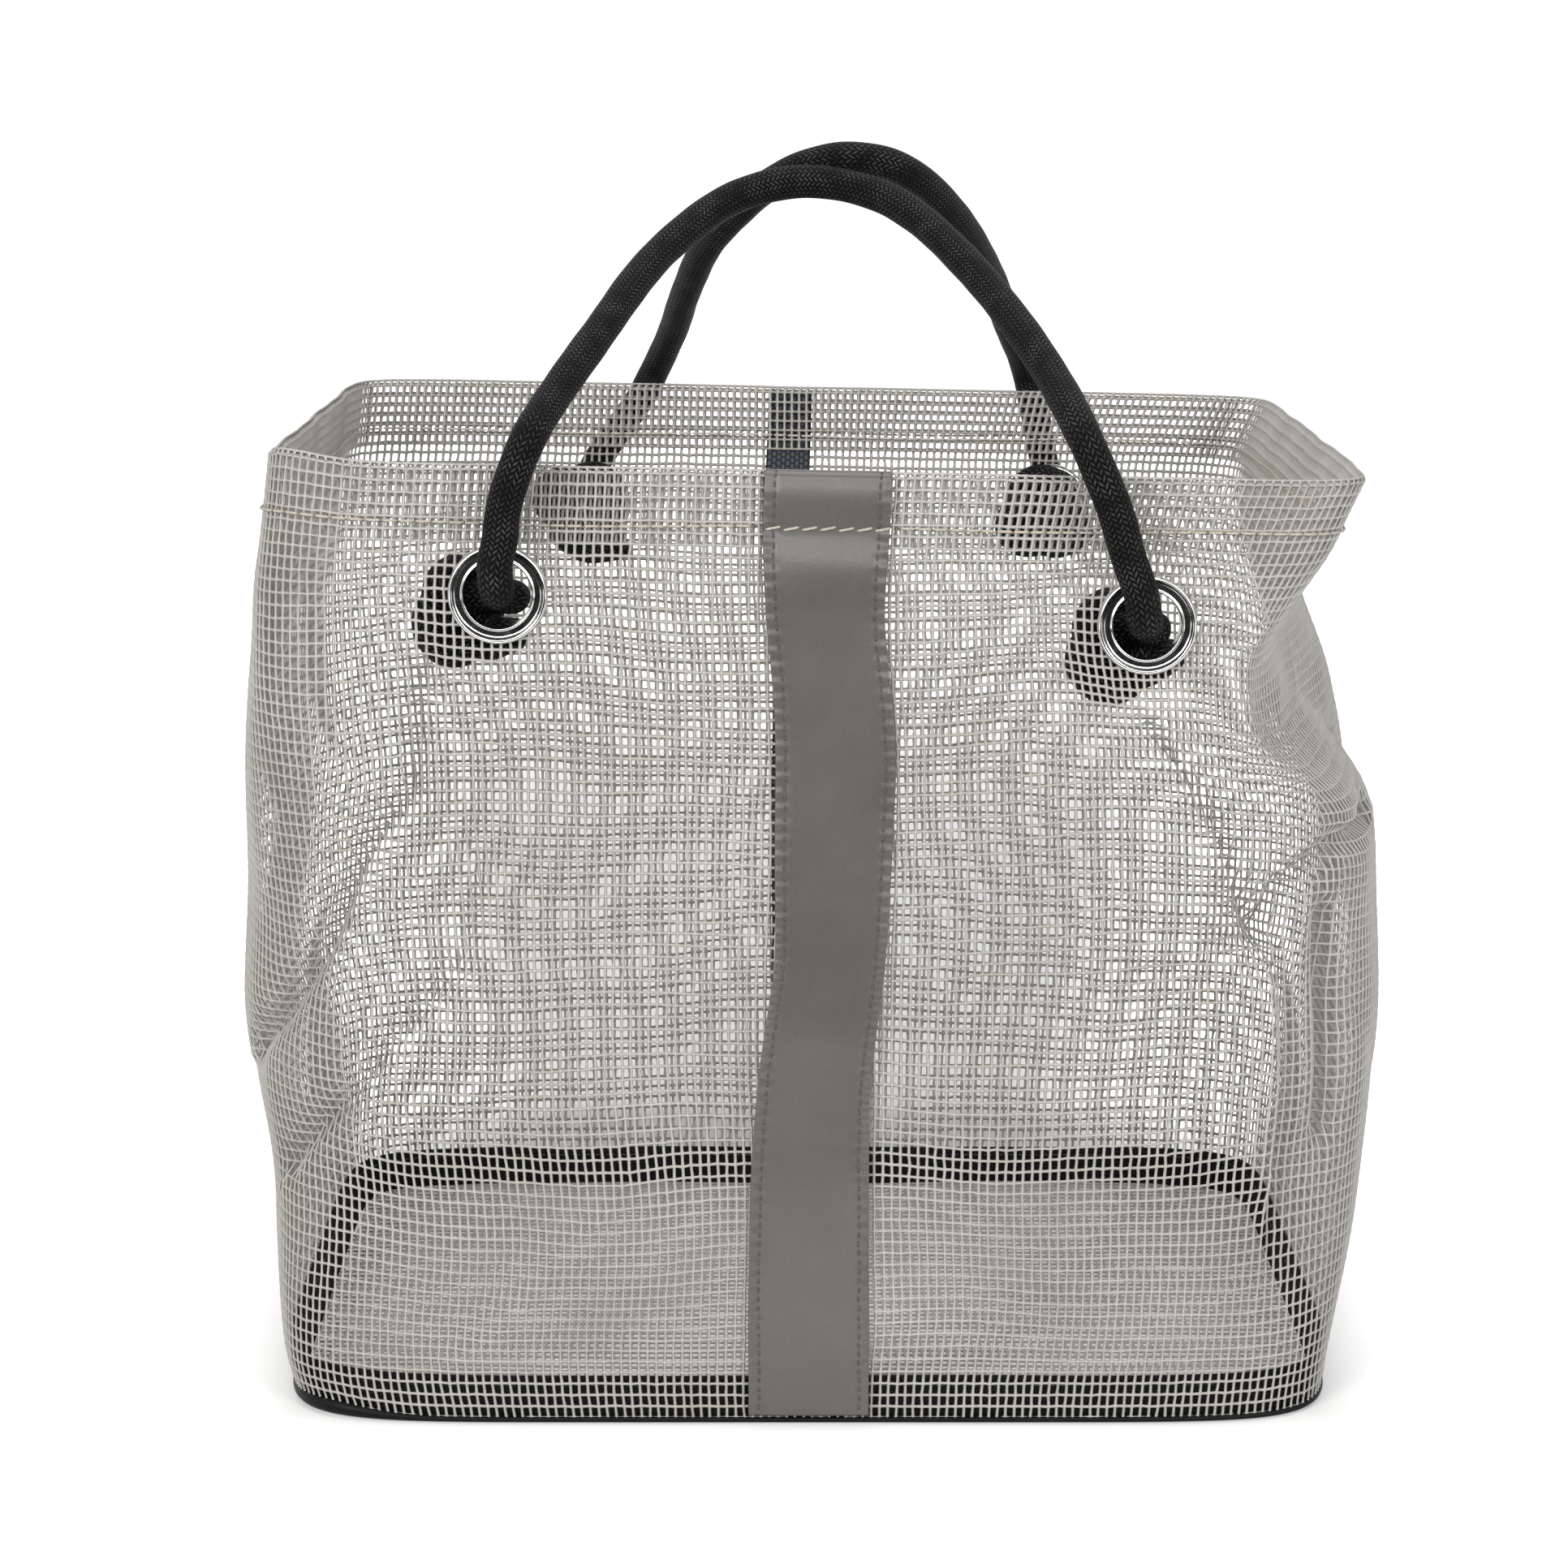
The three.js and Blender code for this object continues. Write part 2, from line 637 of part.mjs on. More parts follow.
// Handles: each a rope from one eyelet up and over the rim, in an arch that leans in, and down to the other.
const ropeSection = new THREE.Shape(Array.from({ length: ropeSides }, (_, i) => {
  const angle = (2 * Math.PI * i) / ropeSides;
  return new THREE.Vector2(ropeRadius * Math.cos(angle), ropeRadius * Math.sin(angle));
}));
for (const handle of handles) {
  const [left, right] = eyelets.filter((eyelet) => eyelet.handle === handle).map((eyelet) => eyelet.pivot);
  const fold = bagHeight + ropeOverRim;
  // The two arches lean in as far as they can, until they meet over the middle of the mouth.
  const top = handle.side * (ropeDiameter + handleMeetGap) / 2;
  const route = handle.routeShares.map(([across, up]) => {
    const low = left.clone().lerp(right, (across + 1) / 2);
    const y = THREE.MathUtils.lerp(low.y, top, Math.max(up, 0));
    const z = fold + up * (up < 0 ? fold - low.z : handle.archHeight);
    return new THREE.Vector3(low.x, y, z);
  });
  const start = left.clone();
  start.z += ropeRadius + seatGap;
  const finish = right.clone();
  finish.z += ropeRadius + seatGap;
  // The hinge group stands at the left eyelet, with its X axis running on through the right one.
  const hinge = new THREE.Group();
  hinge.position.copy(left);
  hinge.quaternion.setFromUnitVectors(new THREE.Vector3(1, 0, 0), right.clone().sub(left).normalize());
  hinge.updateMatrixWorld(true);
  const points = [start, ...route, finish].map((point) => hinge.worldToLocal(point));
  const curve = new THREE.CatmullRomCurve3(points, false, 'centripetal');
  const arch = new THREE.ExtrudeGeometry(ropeSection, { steps: handleSteps, extrudePath: curve });
  const mesh = new THREE.Mesh(arch, materials.rope);
  mesh.name = `${handle.name}_handle`;
  hinge.add(mesh);
  caddy.add(hinge);
}

caddy.updateMatrixWorld(true);

export default caddy;
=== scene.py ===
# The mesh shower caddy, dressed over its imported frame. Lengths here are millimetres, and meshes are metres.
# Columns of the net are counted round the walls from the middle of the right wall through the back, left
# and front walls. Rows are counted up.

import functools
import math

import bmesh
import bpy
import numpy as np
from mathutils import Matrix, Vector


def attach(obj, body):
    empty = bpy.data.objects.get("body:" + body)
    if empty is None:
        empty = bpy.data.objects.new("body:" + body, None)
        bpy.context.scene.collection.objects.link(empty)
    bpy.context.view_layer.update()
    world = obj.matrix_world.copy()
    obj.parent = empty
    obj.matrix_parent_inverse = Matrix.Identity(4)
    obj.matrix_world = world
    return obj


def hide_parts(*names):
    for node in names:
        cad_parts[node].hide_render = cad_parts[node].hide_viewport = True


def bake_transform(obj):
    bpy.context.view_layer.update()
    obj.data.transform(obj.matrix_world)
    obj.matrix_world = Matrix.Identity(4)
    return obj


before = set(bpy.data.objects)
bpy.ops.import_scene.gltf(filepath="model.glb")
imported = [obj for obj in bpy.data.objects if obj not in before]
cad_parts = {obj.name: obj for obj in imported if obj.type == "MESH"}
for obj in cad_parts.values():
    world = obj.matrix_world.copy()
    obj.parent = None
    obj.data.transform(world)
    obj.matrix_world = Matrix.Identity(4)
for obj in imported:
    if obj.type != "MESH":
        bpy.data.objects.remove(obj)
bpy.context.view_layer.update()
rng = np.random.default_rng(7)


def add_object(name, data):
    obj = bpy.data.objects.new(name, data)
    bpy.context.scene.collection.objects.link(obj)
    return obj


# Camera of the photograph
CAMERA = (-0.0067, -0.8226, 0.322)
PHOTO_WIDTH, FOCAL_LENGTH = 1932.0, 4063.0  # in pixels
camera_data = bpy.data.cameras.new("camera")
camera = add_object("camera", camera_data)
camera_data.sensor_width = 36.0
camera_data.lens = camera_data.sensor_width * FOCAL_LENGTH / PHOTO_WIDTH
camera_data.clip_start = 0.05
camera_data.clip_end = 50.0
camera.location = CAMERA
camera.rotation_euler = (math.radians(90.0 - 12.9), 0.0, 0.0)
bpy.context.scene.camera = camera

# Sizes as in the part's source
HEIGHT, HALF_WIDTH, HALF_DEPTH = 226.0, 125.0, 90.0
HEM_DEPTH = 19.0
SEAM_HEIGHT = HEIGHT - 12.6
NET_INSIDE = -1.3
BORE, FLANGE = 7.7, 11.0
ROPE_RADIUS = 4.0
PIVOT_REACH = 6.6
KNOT_RADIUS, KNOT_LOOP, KNOT_DEPTH = 3.9, 6.8, 10.25

# The walls' outline at shares of the height: its left, right, front and back half sizes, as shares of the
# sizes above, and its squareness. The corners are rounder here than in the part's source.
SHAPE = np.array([
    [0.0, 1.015, 1.003, 1.055, 0.8, 9],
    [0.05, 1.04, 1.02, 1.06, 0.81, 8],
    [0.21, 1.067, 1.083, 1.075, 0.9, 5.4],
    [0.37, 1.116, 1.118, 1.08, 0.975, 4.6],
    [0.55, 1.103, 1.106, 1.06, 1.01, 4.6],
    [0.71, 1.085, 1.058, 1.03, 1.012, 6.5],
    [0.855, 1.045, 0.965, 1.01, 1.01, 11],
    [0.92, 1.02, 0.962, 1.005, 1.005, 13],
    [1.0, 1.0, 1.019, 1.0, 1.0, 13],
])

# The net's pitch, its columns in each eighth of the way round, and its wires' half sizes
COLUMN_PITCH = 2.13
OCTANTS = (42, 59, 59, 42, 42, 59, 59, 42)
STARTS = np.concatenate([[0], np.cumsum(OCTANTS)])
COLUMNS = int(STARTS[-1])
FRONT_MIDDLE = int(STARTS[6])
NET_FOOT, NET_TOP = 1.2, 224.9
UPRIGHT, LEVEL, THICK = 0.33, 0.33, 0.33

# Eyelets: how far in from the rim's end and down from the hem's seam. Knots: the shift from the eyelet, the
# tail's direction, and the rope's lean as it leaves the bore. Route: shares of the way across and of the rise.
HANDLES = {
    "front": dict(
        side=-1, left=(54.0, 3.85), right=(50.0, 10.85), arch=58.5,
        knots={"left": ((-7.8, -5.7), 190, (3.2, -1.3)), "right": ((-4.8, -6.4), 215, (2.3, -1.7))},
        route=[
            (-0.983, -0.557), (-0.972, -0.342), (-0.938, -0.068), (-0.893, 0.1), (-0.827, 0.232), (-0.705, 0.437),
            (-0.581, 0.642), (-0.49, 0.755), (-0.329, 0.898), (-0.238, 0.946), (-0.135, 0.977), (-0.027, 0.986),
            (0.095, 0.968), (0.215, 0.924), (0.32, 0.85), (0.465, 0.691), (0.594, 0.507), (0.71, 0.299),
            (0.791, 0.1), (0.839, -0.056), (0.885, -0.28), (0.931, -0.578),
        ],
    ),
    "back": dict(
        side=1, left=(64.25, 9.25), right=(58.25, 9.25), arch=63.0,
        knots={"left": ((-2.0, 1.0), 25, (0.0, 0.0)), "right": ((-2.0, -1.4), 150, (0.0, 0.0))},
        route=[
            (-0.925, -0.55), (-0.78, -0.18), (-0.722, 0.01), (-0.629, 0.215), (-0.561, 0.411), (-0.456, 0.634),
            (-0.279, 0.831), (-0.171, 0.914), (-0.045, 0.973), (0.097, 1.0), (0.254, 0.975), (0.382, 0.903),
            (0.474, 0.819), (0.602, 0.654), (0.707, 0.468), (0.809, 0.243), (0.902, 0.027), (0.946, -0.293),
            (0.973, -0.55),
        ],
    ),
}


def unit(v):
    return v / np.maximum(np.linalg.norm(v, axis=-1, keepdims=True), 1e-12)


def ease(t):
    """From 0 to 1 with t, level at both ends and beyond."""
    t = np.clip(t, 0, 1)
    return t * t * (3 - 2 * t)


def lengths_along(path):
    """The length of a path up to each of its points."""
    return np.concatenate([[0.0], np.cumsum(np.linalg.norm(np.diff(path, axis=0), axis=1))])


# Shape of the walls


def wall_shape(z):
    """Left, right, front and back half sizes and the squareness of the outline at a height."""
    share = min(max(z / HEIGHT, 0.0), 1.0)
    i = 0
    while i < len(SHAPE) - 2 and share > SHAPE[i + 1][0]:
        i += 1
    slopes = []
    for row in (i, i + 1):
        before, after = SHAPE[max(row - 1, 0)], SHAPE[min(row + 1, len(SHAPE) - 1)]
        slopes.append((after[1:] - before[1:]) / (after[0] - before[0]))
    span = SHAPE[i + 1][0] - SHAPE[i][0]
    t = (share - SHAPE[i][0]) / span
    a, b = SHAPE[i][1:], SHAPE[i + 1][1:]
    c, d = span * slopes[0], span * slopes[1]
    value = a + t * (c + t * (3 * (b - a) - 2 * c - d + t * (2 * (a - b) + c + d)))
    return value * np.array([HALF_WIDTH, HALF_WIDTH, HALF_DEPTH, HALF_DEPTH, 1.0])


def octant_line(shape, k):
    """The outline's points over one octant, in order, and their lengths along it."""
    left, right, front, back, n = shape
    share = np.linspace(0.0, 0.5 ** (1 / n), 65)
    other = (1 - share**n) ** (1 / n)
    if k in (0, 3, 4, 7):  # beside the middle of a side wall
        x, y = other, share
    else:  # beside the middle of the front or back wall
        x, y = share, other
    x = x * (-left if k in (2, 3, 4, 5) else right)
    y = y * (-front if k >= 4 else back)
    line = np.stack([x, y], 1)
    if k in (1, 3, 5, 7):
        line = line[::-1]
    return line, lengths_along(line)


def outline(shape, u):
    """Points of the walls' outer face at columns u, at the height of the shape."""
    u = np.asarray(u, float) % COLUMNS
    out = np.empty(u.shape + (2,))
    for k in range(8):
        inside = (u >= STARTS[k]) & (u < STARTS[k + 1])
        if not inside.any():
            continue
        line, lengths = octant_line(shape, k)
        at = (u[inside] - STARTS[k]) / OCTANTS[k] * lengths[-1]
        out[inside, 0] = np.interp(at, lengths, line[:, 0])
        out[inside, 1] = np.interp(at, lengths, line[:, 1])
    return out


def draw_in(at, z):
    """Moves the front right corner of the outline in under the hem, where the side wall slants back from it."""
    depth = 15 * ease((z - 142) / 26) * ease((212 - z) / 30)
    shift = depth * ease((-at[:, 1] - 5) / 75) * (np.maximum(at[:, 0], 0) / 121) ** 4
    return at - np.stack([shift, np.zeros_like(shift)], 1)


def seat(side, x, z):
    """The point of the front or back wall's outer face at x and z, and the wall's normal there, undented."""

    def depth(at_x, at_z):
        left, right, front, back, n = wall_shape(at_z)
        across = abs(at_x) / (left if at_x < 0 else right)
        return side * (front if side < 0 else back) * (1 - across**n) ** (1 / n)

    slope_x = (depth(x + 1, z) - depth(x - 1, z)) / 2
    slope_z = (depth(x, z + 1) - depth(x, z - 1)) / 2
    normal = unit(np.array([-slope_x, 1.0, -slope_z])) * side
    return np.array([x, depth(x, z), z]), normal


# Creases of the walls. Each runs between two places given as millimetres round the walls from the middle of
# the front, to the right, and height. It stands out by its rise and falls off over its width to either side.
CREASES = [
    ((-44, 66), (-88, 12), 1.5, 3.5),
    ((-73, 50), (-94, 12), -1.5, 4.0), ((-45.7, 168), (-28, 84), -1.0, 9.0),
    ((77, 124), (40, 109), -2.0, 6.0), ((-118, 196), (-100, 150), -1.6, 7.0),
    ((150, 178), (126, 140), 1.6, 7.0), ((135, 100), (172, 60), -2.6, 8.0),
    ((150, 180), (196, 150), -3.0, 9.0), ((196, 150), (230, 95), -2.4, 9.0),
    ((262, 175), (300, 120), -2.6, 8.0), ((240, 40), (296, 82), -2.2, 9.0),
    ((-150, 182), (-190, 130), -2.8, 9.0), ((-190, 130), (-172, 60), -2.4, 9.0),
    ((-240, 170), (-292, 118), -2.6, 8.0), ((-225, 50), (-285, 92), -2.2, 9.0),
    ((320, 160), (352, 105), -2.6, 7.0), ((352, 105), (338, 40), -1.8, 8.0),
    ((-318, 150), (-346, 98), -2.8, 7.0), ((-346, 98), (-380, 60), -1.8, 9.0),
    ((395, 150), (372, 70), -1.4, 10.0), ((-400, 120), (-372, 170), -1.2, 9.0),
]
# Sharp folds at the front corners, along such places: rise and width, then the step from the fold's left to its
# right as it runs down, with the step's reach
FOLDS = [
    ([(-91, 178), (-94, 153), (-108, 138), (-122, 114), (-138, 93), (-155, 82)], -7.0, 2.7, -1.2, 10.0),
    ([(-85, 112), (-102, 93), (-111, 81), (-136, 57)], -4.6, 2.2, 1.2, 8.0),
    ([(-78, 139), (-80, 115)], -2.4, 2.2, 0.0, 1.0),
    ([(84, 167), (91, 156), (103, 127), (110, 116)], -6.0, 2.2, 1.4, 8.0),
    ([(157, 142), (129, 139), (112, 128), (110, 116)], -5.4, 2.3, 1.2, 8.0),
    ([(110, 112), (111, 81), (111, 60)], 1.6, 2.2, -3.2, 9.0),
    ([(126, 121), (128, 97), (128, 68)], -5.6, 2.6, 0.8, 9.0),
    ([(40, 111), (66, 112), (92, 110)], -2.2, 2.4, 0.6, 6.0),
]
CHAMFERS = [(128, 176, -3.0, 14.0), (110, 116, -2.5, 6.0)]
# Places that stand out or in: round, height, rise, radius
SWELLS = [
    (102.6, 119, -4.5, 9.0), (77, 147, 2.6, 20.0), (122, 122, 1.5, 14.0), (-60, 140, 1.6, 30.0),
    (60, 70, 1.4, 28.0), (-40, 60, 1.0, 26.0), (-95, 160, 1.5, 20.0), (40, 160, -1.0, 22.0),
    (180, 110, 2.0, 28.0), (-215, 90, 2.0, 30.0), (250, 120, 1.6, 26.0), (-330, 120, 1.5, 24.0),
    (345, 150, 1.4, 22.0), (400, 90, 1.5, 28.0), (-400, 80, 1.2, 26.0),
]
WAVES = [
    (0.031, 0.045, 0.4, 0.55), (-0.052, 0.038, 1.9, 0.45), (0.083, -0.061, 3.1, 0.28),
    (0.121, 0.094, 5.2, 0.16), (-0.174, 0.133, 0.9, 0.10), (0.02, -0.11, 2.2, 0.30),
]


def calm(z):
    """0 where a hem or a seam holds the net flat, and 1 between them."""
    return ease((z - 7) / 22) * ease((HEIGHT - HEM_DEPTH + 3 - z) / 26)


EYELET_SPOTS = []
for handle in HANDLES.values():
    for end in ("left", "right"):
        inset, under = handle[end]
        x = inset - HALF_WIDTH if end == "left" else HALF_WIDTH - inset
        z = SEAM_HEIGHT - 0.35 - under - FLANGE
        point, normal = seat(handle["side"], x, z)
        handle[end] = dict(point=point, normal=normal)
        EYELET_SPOTS.append((point, normal))


def round_wall(u):
    """Millimetres round the walls from the middle of the front, to the right."""
    return ((np.asarray(u, float) - FRONT_MIDDLE + COLUMNS / 2) % COLUMNS - COLUMNS / 2) * COLUMN_PITCH


def tilt(x, z):
    """How much higher the net stands at the left than at the right, most at the rim."""
    return np.clip(z / HEIGHT, 0, 1.02) ** 3 * (-0.4 - 0.02 * x)


def from_line(s, z, line):
    """The distance from a line of places, below 0 on one side of it."""
    nearest = np.full(np.broadcast(s, z).shape, 1e3)
    for (s0, z0), (s1, z1) in zip(line, line[1:]):
        ds, dz = s1 - s0, z1 - z0
        t = np.clip(((s - s0) * ds + (z - z0) * dz) / (ds * ds + dz * dz), 0, 1)
        away = np.hypot(s - s0 - t * ds, z - z0 - t * dz)
        away = np.where((s - s0) * dz - (z - z0) * ds > 0, -away, away)
        nearest = np.where(np.abs(away) < np.abs(nearest), away, nearest)
    return nearest


def swell(s, z, places):
    return sum(height * np.exp(-((s - s0) ** 2 + (z - z0) ** 2) / radius**2) for s0, z0, height, radius in places)


def dents(s, z):
    """How far the net stands out from the plain wall."""
    rise = swell(s, z, SWELLS)
    for start, end, height, width in CREASES:
        rise += height * np.exp(-(np.sqrt(from_line(s, z, (start, end)) ** 2 + 2.0) - 1.4) / width)
    for a, b, phase, height in WAVES:
        rise += height * np.sin(a * s + b * z + phase)
    # The corners and the fore part of the side walls, which the outline above follows as they are
    beside = np.clip((np.abs(s) - 112) / 18, 0, 1) * np.clip((186 - np.abs(s)) / 20, 0, 1)
    rise *= 1 - 0.7 * beside
    rise += swell(s, z, CHAMFERS)
    for line, height, width, step, reach in FOLDS:
        away = from_line(s, z, line)
        rise += height * np.exp(-(np.sqrt(away**2 + 0.5) - 0.7) / width)
        rise += step * np.tanh(away / 1.5) * np.exp(-np.abs(away) / reach)
    lip = 0.25 * np.sin(0.11 * s + 1.0) + 0.15 * np.sin(0.23 * s + 2.0)
    return rise * calm(z) + lip * np.clip((z - 190) / 36, 0, 1)


def outline_frame(u, z):
    """Points of the walls' outer face at columns u and one height, without its dents, and the normals there."""
    shape = wall_shape(z)
    at, ahead, behind = (draw_in(outline(shape, u + step), z) for step in (0.0, 0.3, -0.3))
    along = unit(ahead - behind)
    return at, np.stack([along[:, 1], -along[:, 0]], 1)


def wall(u, z, offset=0.0):
    """Points of the walls' outer face, moved out by an offset, for columns u and heights z: (rows, columns, 3)."""
    u = np.asarray(u, float)
    s = round_wall(u)
    points = np.empty((len(z), len(u), 3))
    for j, height in enumerate(z):
        # Rows sway a little, and they climb over the seam's end at the front left corner.
        sway = calm(height) * (
            1.2 * np.sin(0.045 * s + 0.03 * height) + 0.6 * np.sin(0.021 * s - 0.05 * height + 2)
            + 0.35 * np.sin(0.13 * s + 0.07 * height + 1)
        )
        hump = 2.2 * np.exp(-((s - 77) ** 2) / 900 - (height - 140) ** 2 / 1600)
        climb = 2.5 * np.exp(-((s + 123) ** 2) / 240 - max(height, 0) / 9)
        lift = 2.0 * np.exp(-((s + 126) ** 2) / 200) * min(max((height - 190) / 36, 0), 1)
        across = calm(height) * (
            0.3 * np.sin(0.05 * height + 0.02 * s) + 0.12 * np.sin(0.09 * height - 0.04 * s + 1)
        )
        at, normal = outline_frame(u + across, height)
        free = eyelet_calm(at, height)
        out = offset + dents(s, height) * free
        points[j, :, :2] = at + normal * out[:, None]
        points[j, :, 2] = height + (sway + hump) * free + climb + lift + tilt(at[:, 0], height)
    return points


def eyelet_calm(at, height):
    """0 beside an eyelet, which holds the net flat, and 1 away from all of them."""
    free = np.ones(len(at))
    for point, _ in EYELET_SPOTS:
        away = np.sqrt(((at - point[:2]) ** 2).sum(1) + (height - point[2]) ** 2)
        free *= ease((away - FLANGE) / 14)
    return free


def front_frame(x, z):
    """Points of the front wall's outer face at x and z, with the outward normals."""

    def place(px, pz):
        y, s = np.empty(px.shape), np.empty(px.shape)
        for level in np.unique(pz):
            pick = pz == level
            shape = wall_shape(level)
            left, right, front, _, n = shape
            half = octant_line(shape, 6)[1][-1]
            across = np.abs(px[pick]) / np.where(px[pick] < 0, left, right)
            y[pick] = -front * (1 - across**n) ** (1 / n)
            s[pick] = px[pick] / half * OCTANTS[6] * COLUMN_PITCH
        return y - dents(s, pz)

    y = place(x, z)
    slope_x = place(x + 0.5, z) - place(x - 0.5, z)
    up, down = np.minimum(z + 0.5, HEIGHT), np.maximum(z - 0.5, 0.0)
    slope_z = (place(x, up) - place(x, down)) / (up - down)
    normal = unit(np.stack([slope_x, -np.ones_like(x), slope_z], -1))
    return np.stack([x, y, z], -1), normal


# Materials


class Shader:
    """A node material under construction."""

    def __init__(self, name, **plain):
        self.material = bpy.data.materials.new(name)
        self.material.use_nodes = True
        self.tree = self.material.node_tree
        self.bsdf = self.tree.nodes["Principled BSDF"]
        for key, value in plain.items():
            self.bsdf.inputs[key.replace("_", " ")].default_value = value

    def node(self, kind, inputs=(), **settings):
        node = self.tree.nodes.new(kind)
        for key, value in settings.items():
            setattr(node, key, value)
        for key, value in dict(inputs).items():
            self.join(value, node.inputs[key])
        return node

    def join(self, value, socket):
        if isinstance(value, bpy.types.NodeSocket):
            self.tree.links.new(value, socket)
        else:
            socket.default_value = value

    def math(self, operation, *values):
        node = self.node("ShaderNodeMath", operation=operation)
        for i, value in enumerate(values):
            self.join(value, node.inputs[i])
        return node.outputs[0]

    def plus(self, *values):
        return functools.reduce(functools.partial(self.math, "ADD"), values)

    def times(self, *values):
        return functools.reduce(functools.partial(self.math, "MULTIPLY"), values)

    def position(self):
        """The place on the object, in millimetres."""
        coordinates = self.node("ShaderNodeTexCoord").outputs["Object"]
        return self.node("ShaderNodeVectorMath", {0: coordinates, "Scale": 1000.0}, operation="SCALE").outputs[0]

    def split(self, vector):
        return self.node("ShaderNodeSeparateXYZ", {0: vector}).outputs

    def map(self, name):
        """The two coordinates of a map, each on its own."""
        return self.split(self.node("ShaderNodeUVMap", uv_map=name).outputs[0])

    def noise(self, vector, size, detail=3.0):
        """Noise from 0 to 1 whose blobs are about a size in millimetres."""
        inputs = {"Vector": vector, "Scale": 1.0 / size, "Detail": detail, "Roughness": 0.55}
        return self.node("ShaderNodeTexNoise", inputs).outputs[0]

    def ramp(self, value, *stops):
        node = self.node("ShaderNodeValToRGB", {"Fac": value})
        band = node.color_ramp
        while len(band.elements) < len(stops):
            band.elements.new(0.5)
        for element, (place, colour) in zip(band.elements, stops):
            element.position = place
            element.color = (*colour, 1.0) if isinstance(colour, tuple) else (colour, colour, colour, 1.0)
        return node.outputs["Color"]

    def span(self, value, low, high, new_low, new_high):
        node = self.node("ShaderNodeMapRange", {0: value, 1: low, 2: high, 3: new_low, 4: new_high})
        return node.outputs[0]

    def mix(self, factor, a, b, kind="MIX"):
        node = self.node("ShaderNodeMix", data_type="RGBA", blend_type=kind)
        self.join(factor, node.inputs["Factor"])
        for value, key in ((a, 6), (b, 7)):
            self.join((*value, 1.0) if isinstance(value, tuple) else value, node.inputs[key])
        return node.outputs[2]

    def set(self, key, value):
        self.join(value, self.bsdf.inputs[key])

    def bump(self, height, distance, strength=1.0):
        """Bump whose height of 1 stands out by a distance in millimetres."""
        inputs = {"Height": height, "Distance": distance / 1000.0, "Strength": strength}
        self.set("Normal", self.node("ShaderNodeBump", inputs).outputs[0])


def net_material():
    sh = Shader("net_coating", Specular_IOR_Level=0.45)
    place = sh.position()
    broad = sh.noise(place, 34.0, 2.0)
    fine = sh.noise(place, 2.6, 3.0)
    tone = sh.plus(sh.times(broad, 0.6), sh.times(fine, 0.4))
    colour = sh.ramp(tone, (0.3, (0.39, 0.368, 0.33)), (0.5, (0.45, 0.433, 0.402)), (0.72, (0.5, 0.488, 0.463)))
    # Painted shade: the level wires darken towards a dark brown by the share in their second map.
    sh.set("Base Color", sh.mix(sh.map("weft_shade")[0], colour, (0.13, 0.115, 0.09)))
    sh.set("Roughness", sh.span(fine, 0.3, 0.7, 0.34, 0.5))
    sh.bump(sh.noise(place, 0.5, 2.0), 0.05, 0.6)
    return sh.material


def strap_material():
    sh = Shader("strap_leather", Specular_IOR_Level=0.5)
    place = sh.position()
    broad = sh.noise(place, 26.0, 3.0)
    colour = sh.ramp(broad, (0.3, (0.088, 0.0815, 0.0765)), (0.7, (0.103, 0.0965, 0.091)))
    grain = sh.node("ShaderNodeTexVoronoi", {"Vector": place, "Scale": 1.5}).outputs["Distance"]
    fine = sh.noise(place, 0.35, 3.0)
    height = sh.plus(sh.times(grain, 0.7), sh.times(fine, 0.5))
    # The colour is darker in the grain's hollows and lighter on its tops.
    grain_tone = sh.ramp(height, (0.25, 0.93), (0.8, 1.04))
    sh.set("Base Color", sh.mix(1.0, colour, grain_tone, "MULTIPLY"))
    sh.set("Roughness", sh.span(sh.noise(place, 9.0), 0.3, 0.7, 0.32, 0.4))
    sh.bump(height, 0.05, 0.5)
    return sh.material


def cell(sh, value):
    """A value's whole part and the part over it."""
    return sh.math("FLOOR", value), sh.math("FRACT", value)


def ridge(sh, part):
    """A round ridge over each span from 0 to 1."""
    return sh.math("SINE", sh.times(part, math.pi))


def rope_material():
    """Black rope braided from two sets of strands. Its map holds turns round the rope and girths along it."""
    sh = Shader("rope_braid", Specular_IOR_Level=0.06)
    strands = 22.0
    turn, along = (sh.times(part, count) for part, count in zip(sh.map("lay"), (strands, strands * 0.82)))
    p, q = sh.plus(turn, along), sh.math("SUBTRACT", turn, along)
    whole_p, part_p = cell(sh, p)
    whole_q, part_q = cell(sh, q)
    # Each strand passes over two strands and under two.
    highs = []
    for whole, part, other, reach in ((whole_p, part_p, q, 0.4), (whole_q, part_q, p, -0.4)):
        lift = sh.math("COSINE", sh.times(sh.plus(other, whole), math.pi / 2))
        highs.append(sh.times(ridge(sh, part), sh.math("MULTIPLY_ADD", lift, reach, 0.6)))
    yarn = sh.math("SINE", sh.times(sh.math("MAXIMUM", part_p, part_q), 6 * math.pi))
    height = sh.math("MULTIPLY_ADD", yarn, 0.08, sh.math("MAXIMUM", *highs))
    sheen_patches = sh.noise(sh.position(), 5.0, 3.0)
    # The base colour is painted light: highlights on the strands' tops and shade in the hollows between them, stronger
    # in patches.
    shade = sh.times(height, sh.span(sheen_patches, 0.3, 0.7, 0.75, 1.15))
    sh.set("Base Color", sh.ramp(shade, (0.3, 0.0015), (0.7, 0.007), (1.0, (0.07, 0.07, 0.071))))
    sh.set("Roughness", sh.span(sheen_patches, 0.3, 0.7, 0.42, 0.58))
    sh.bump(height, 0.35, 1.0)
    return sh.material


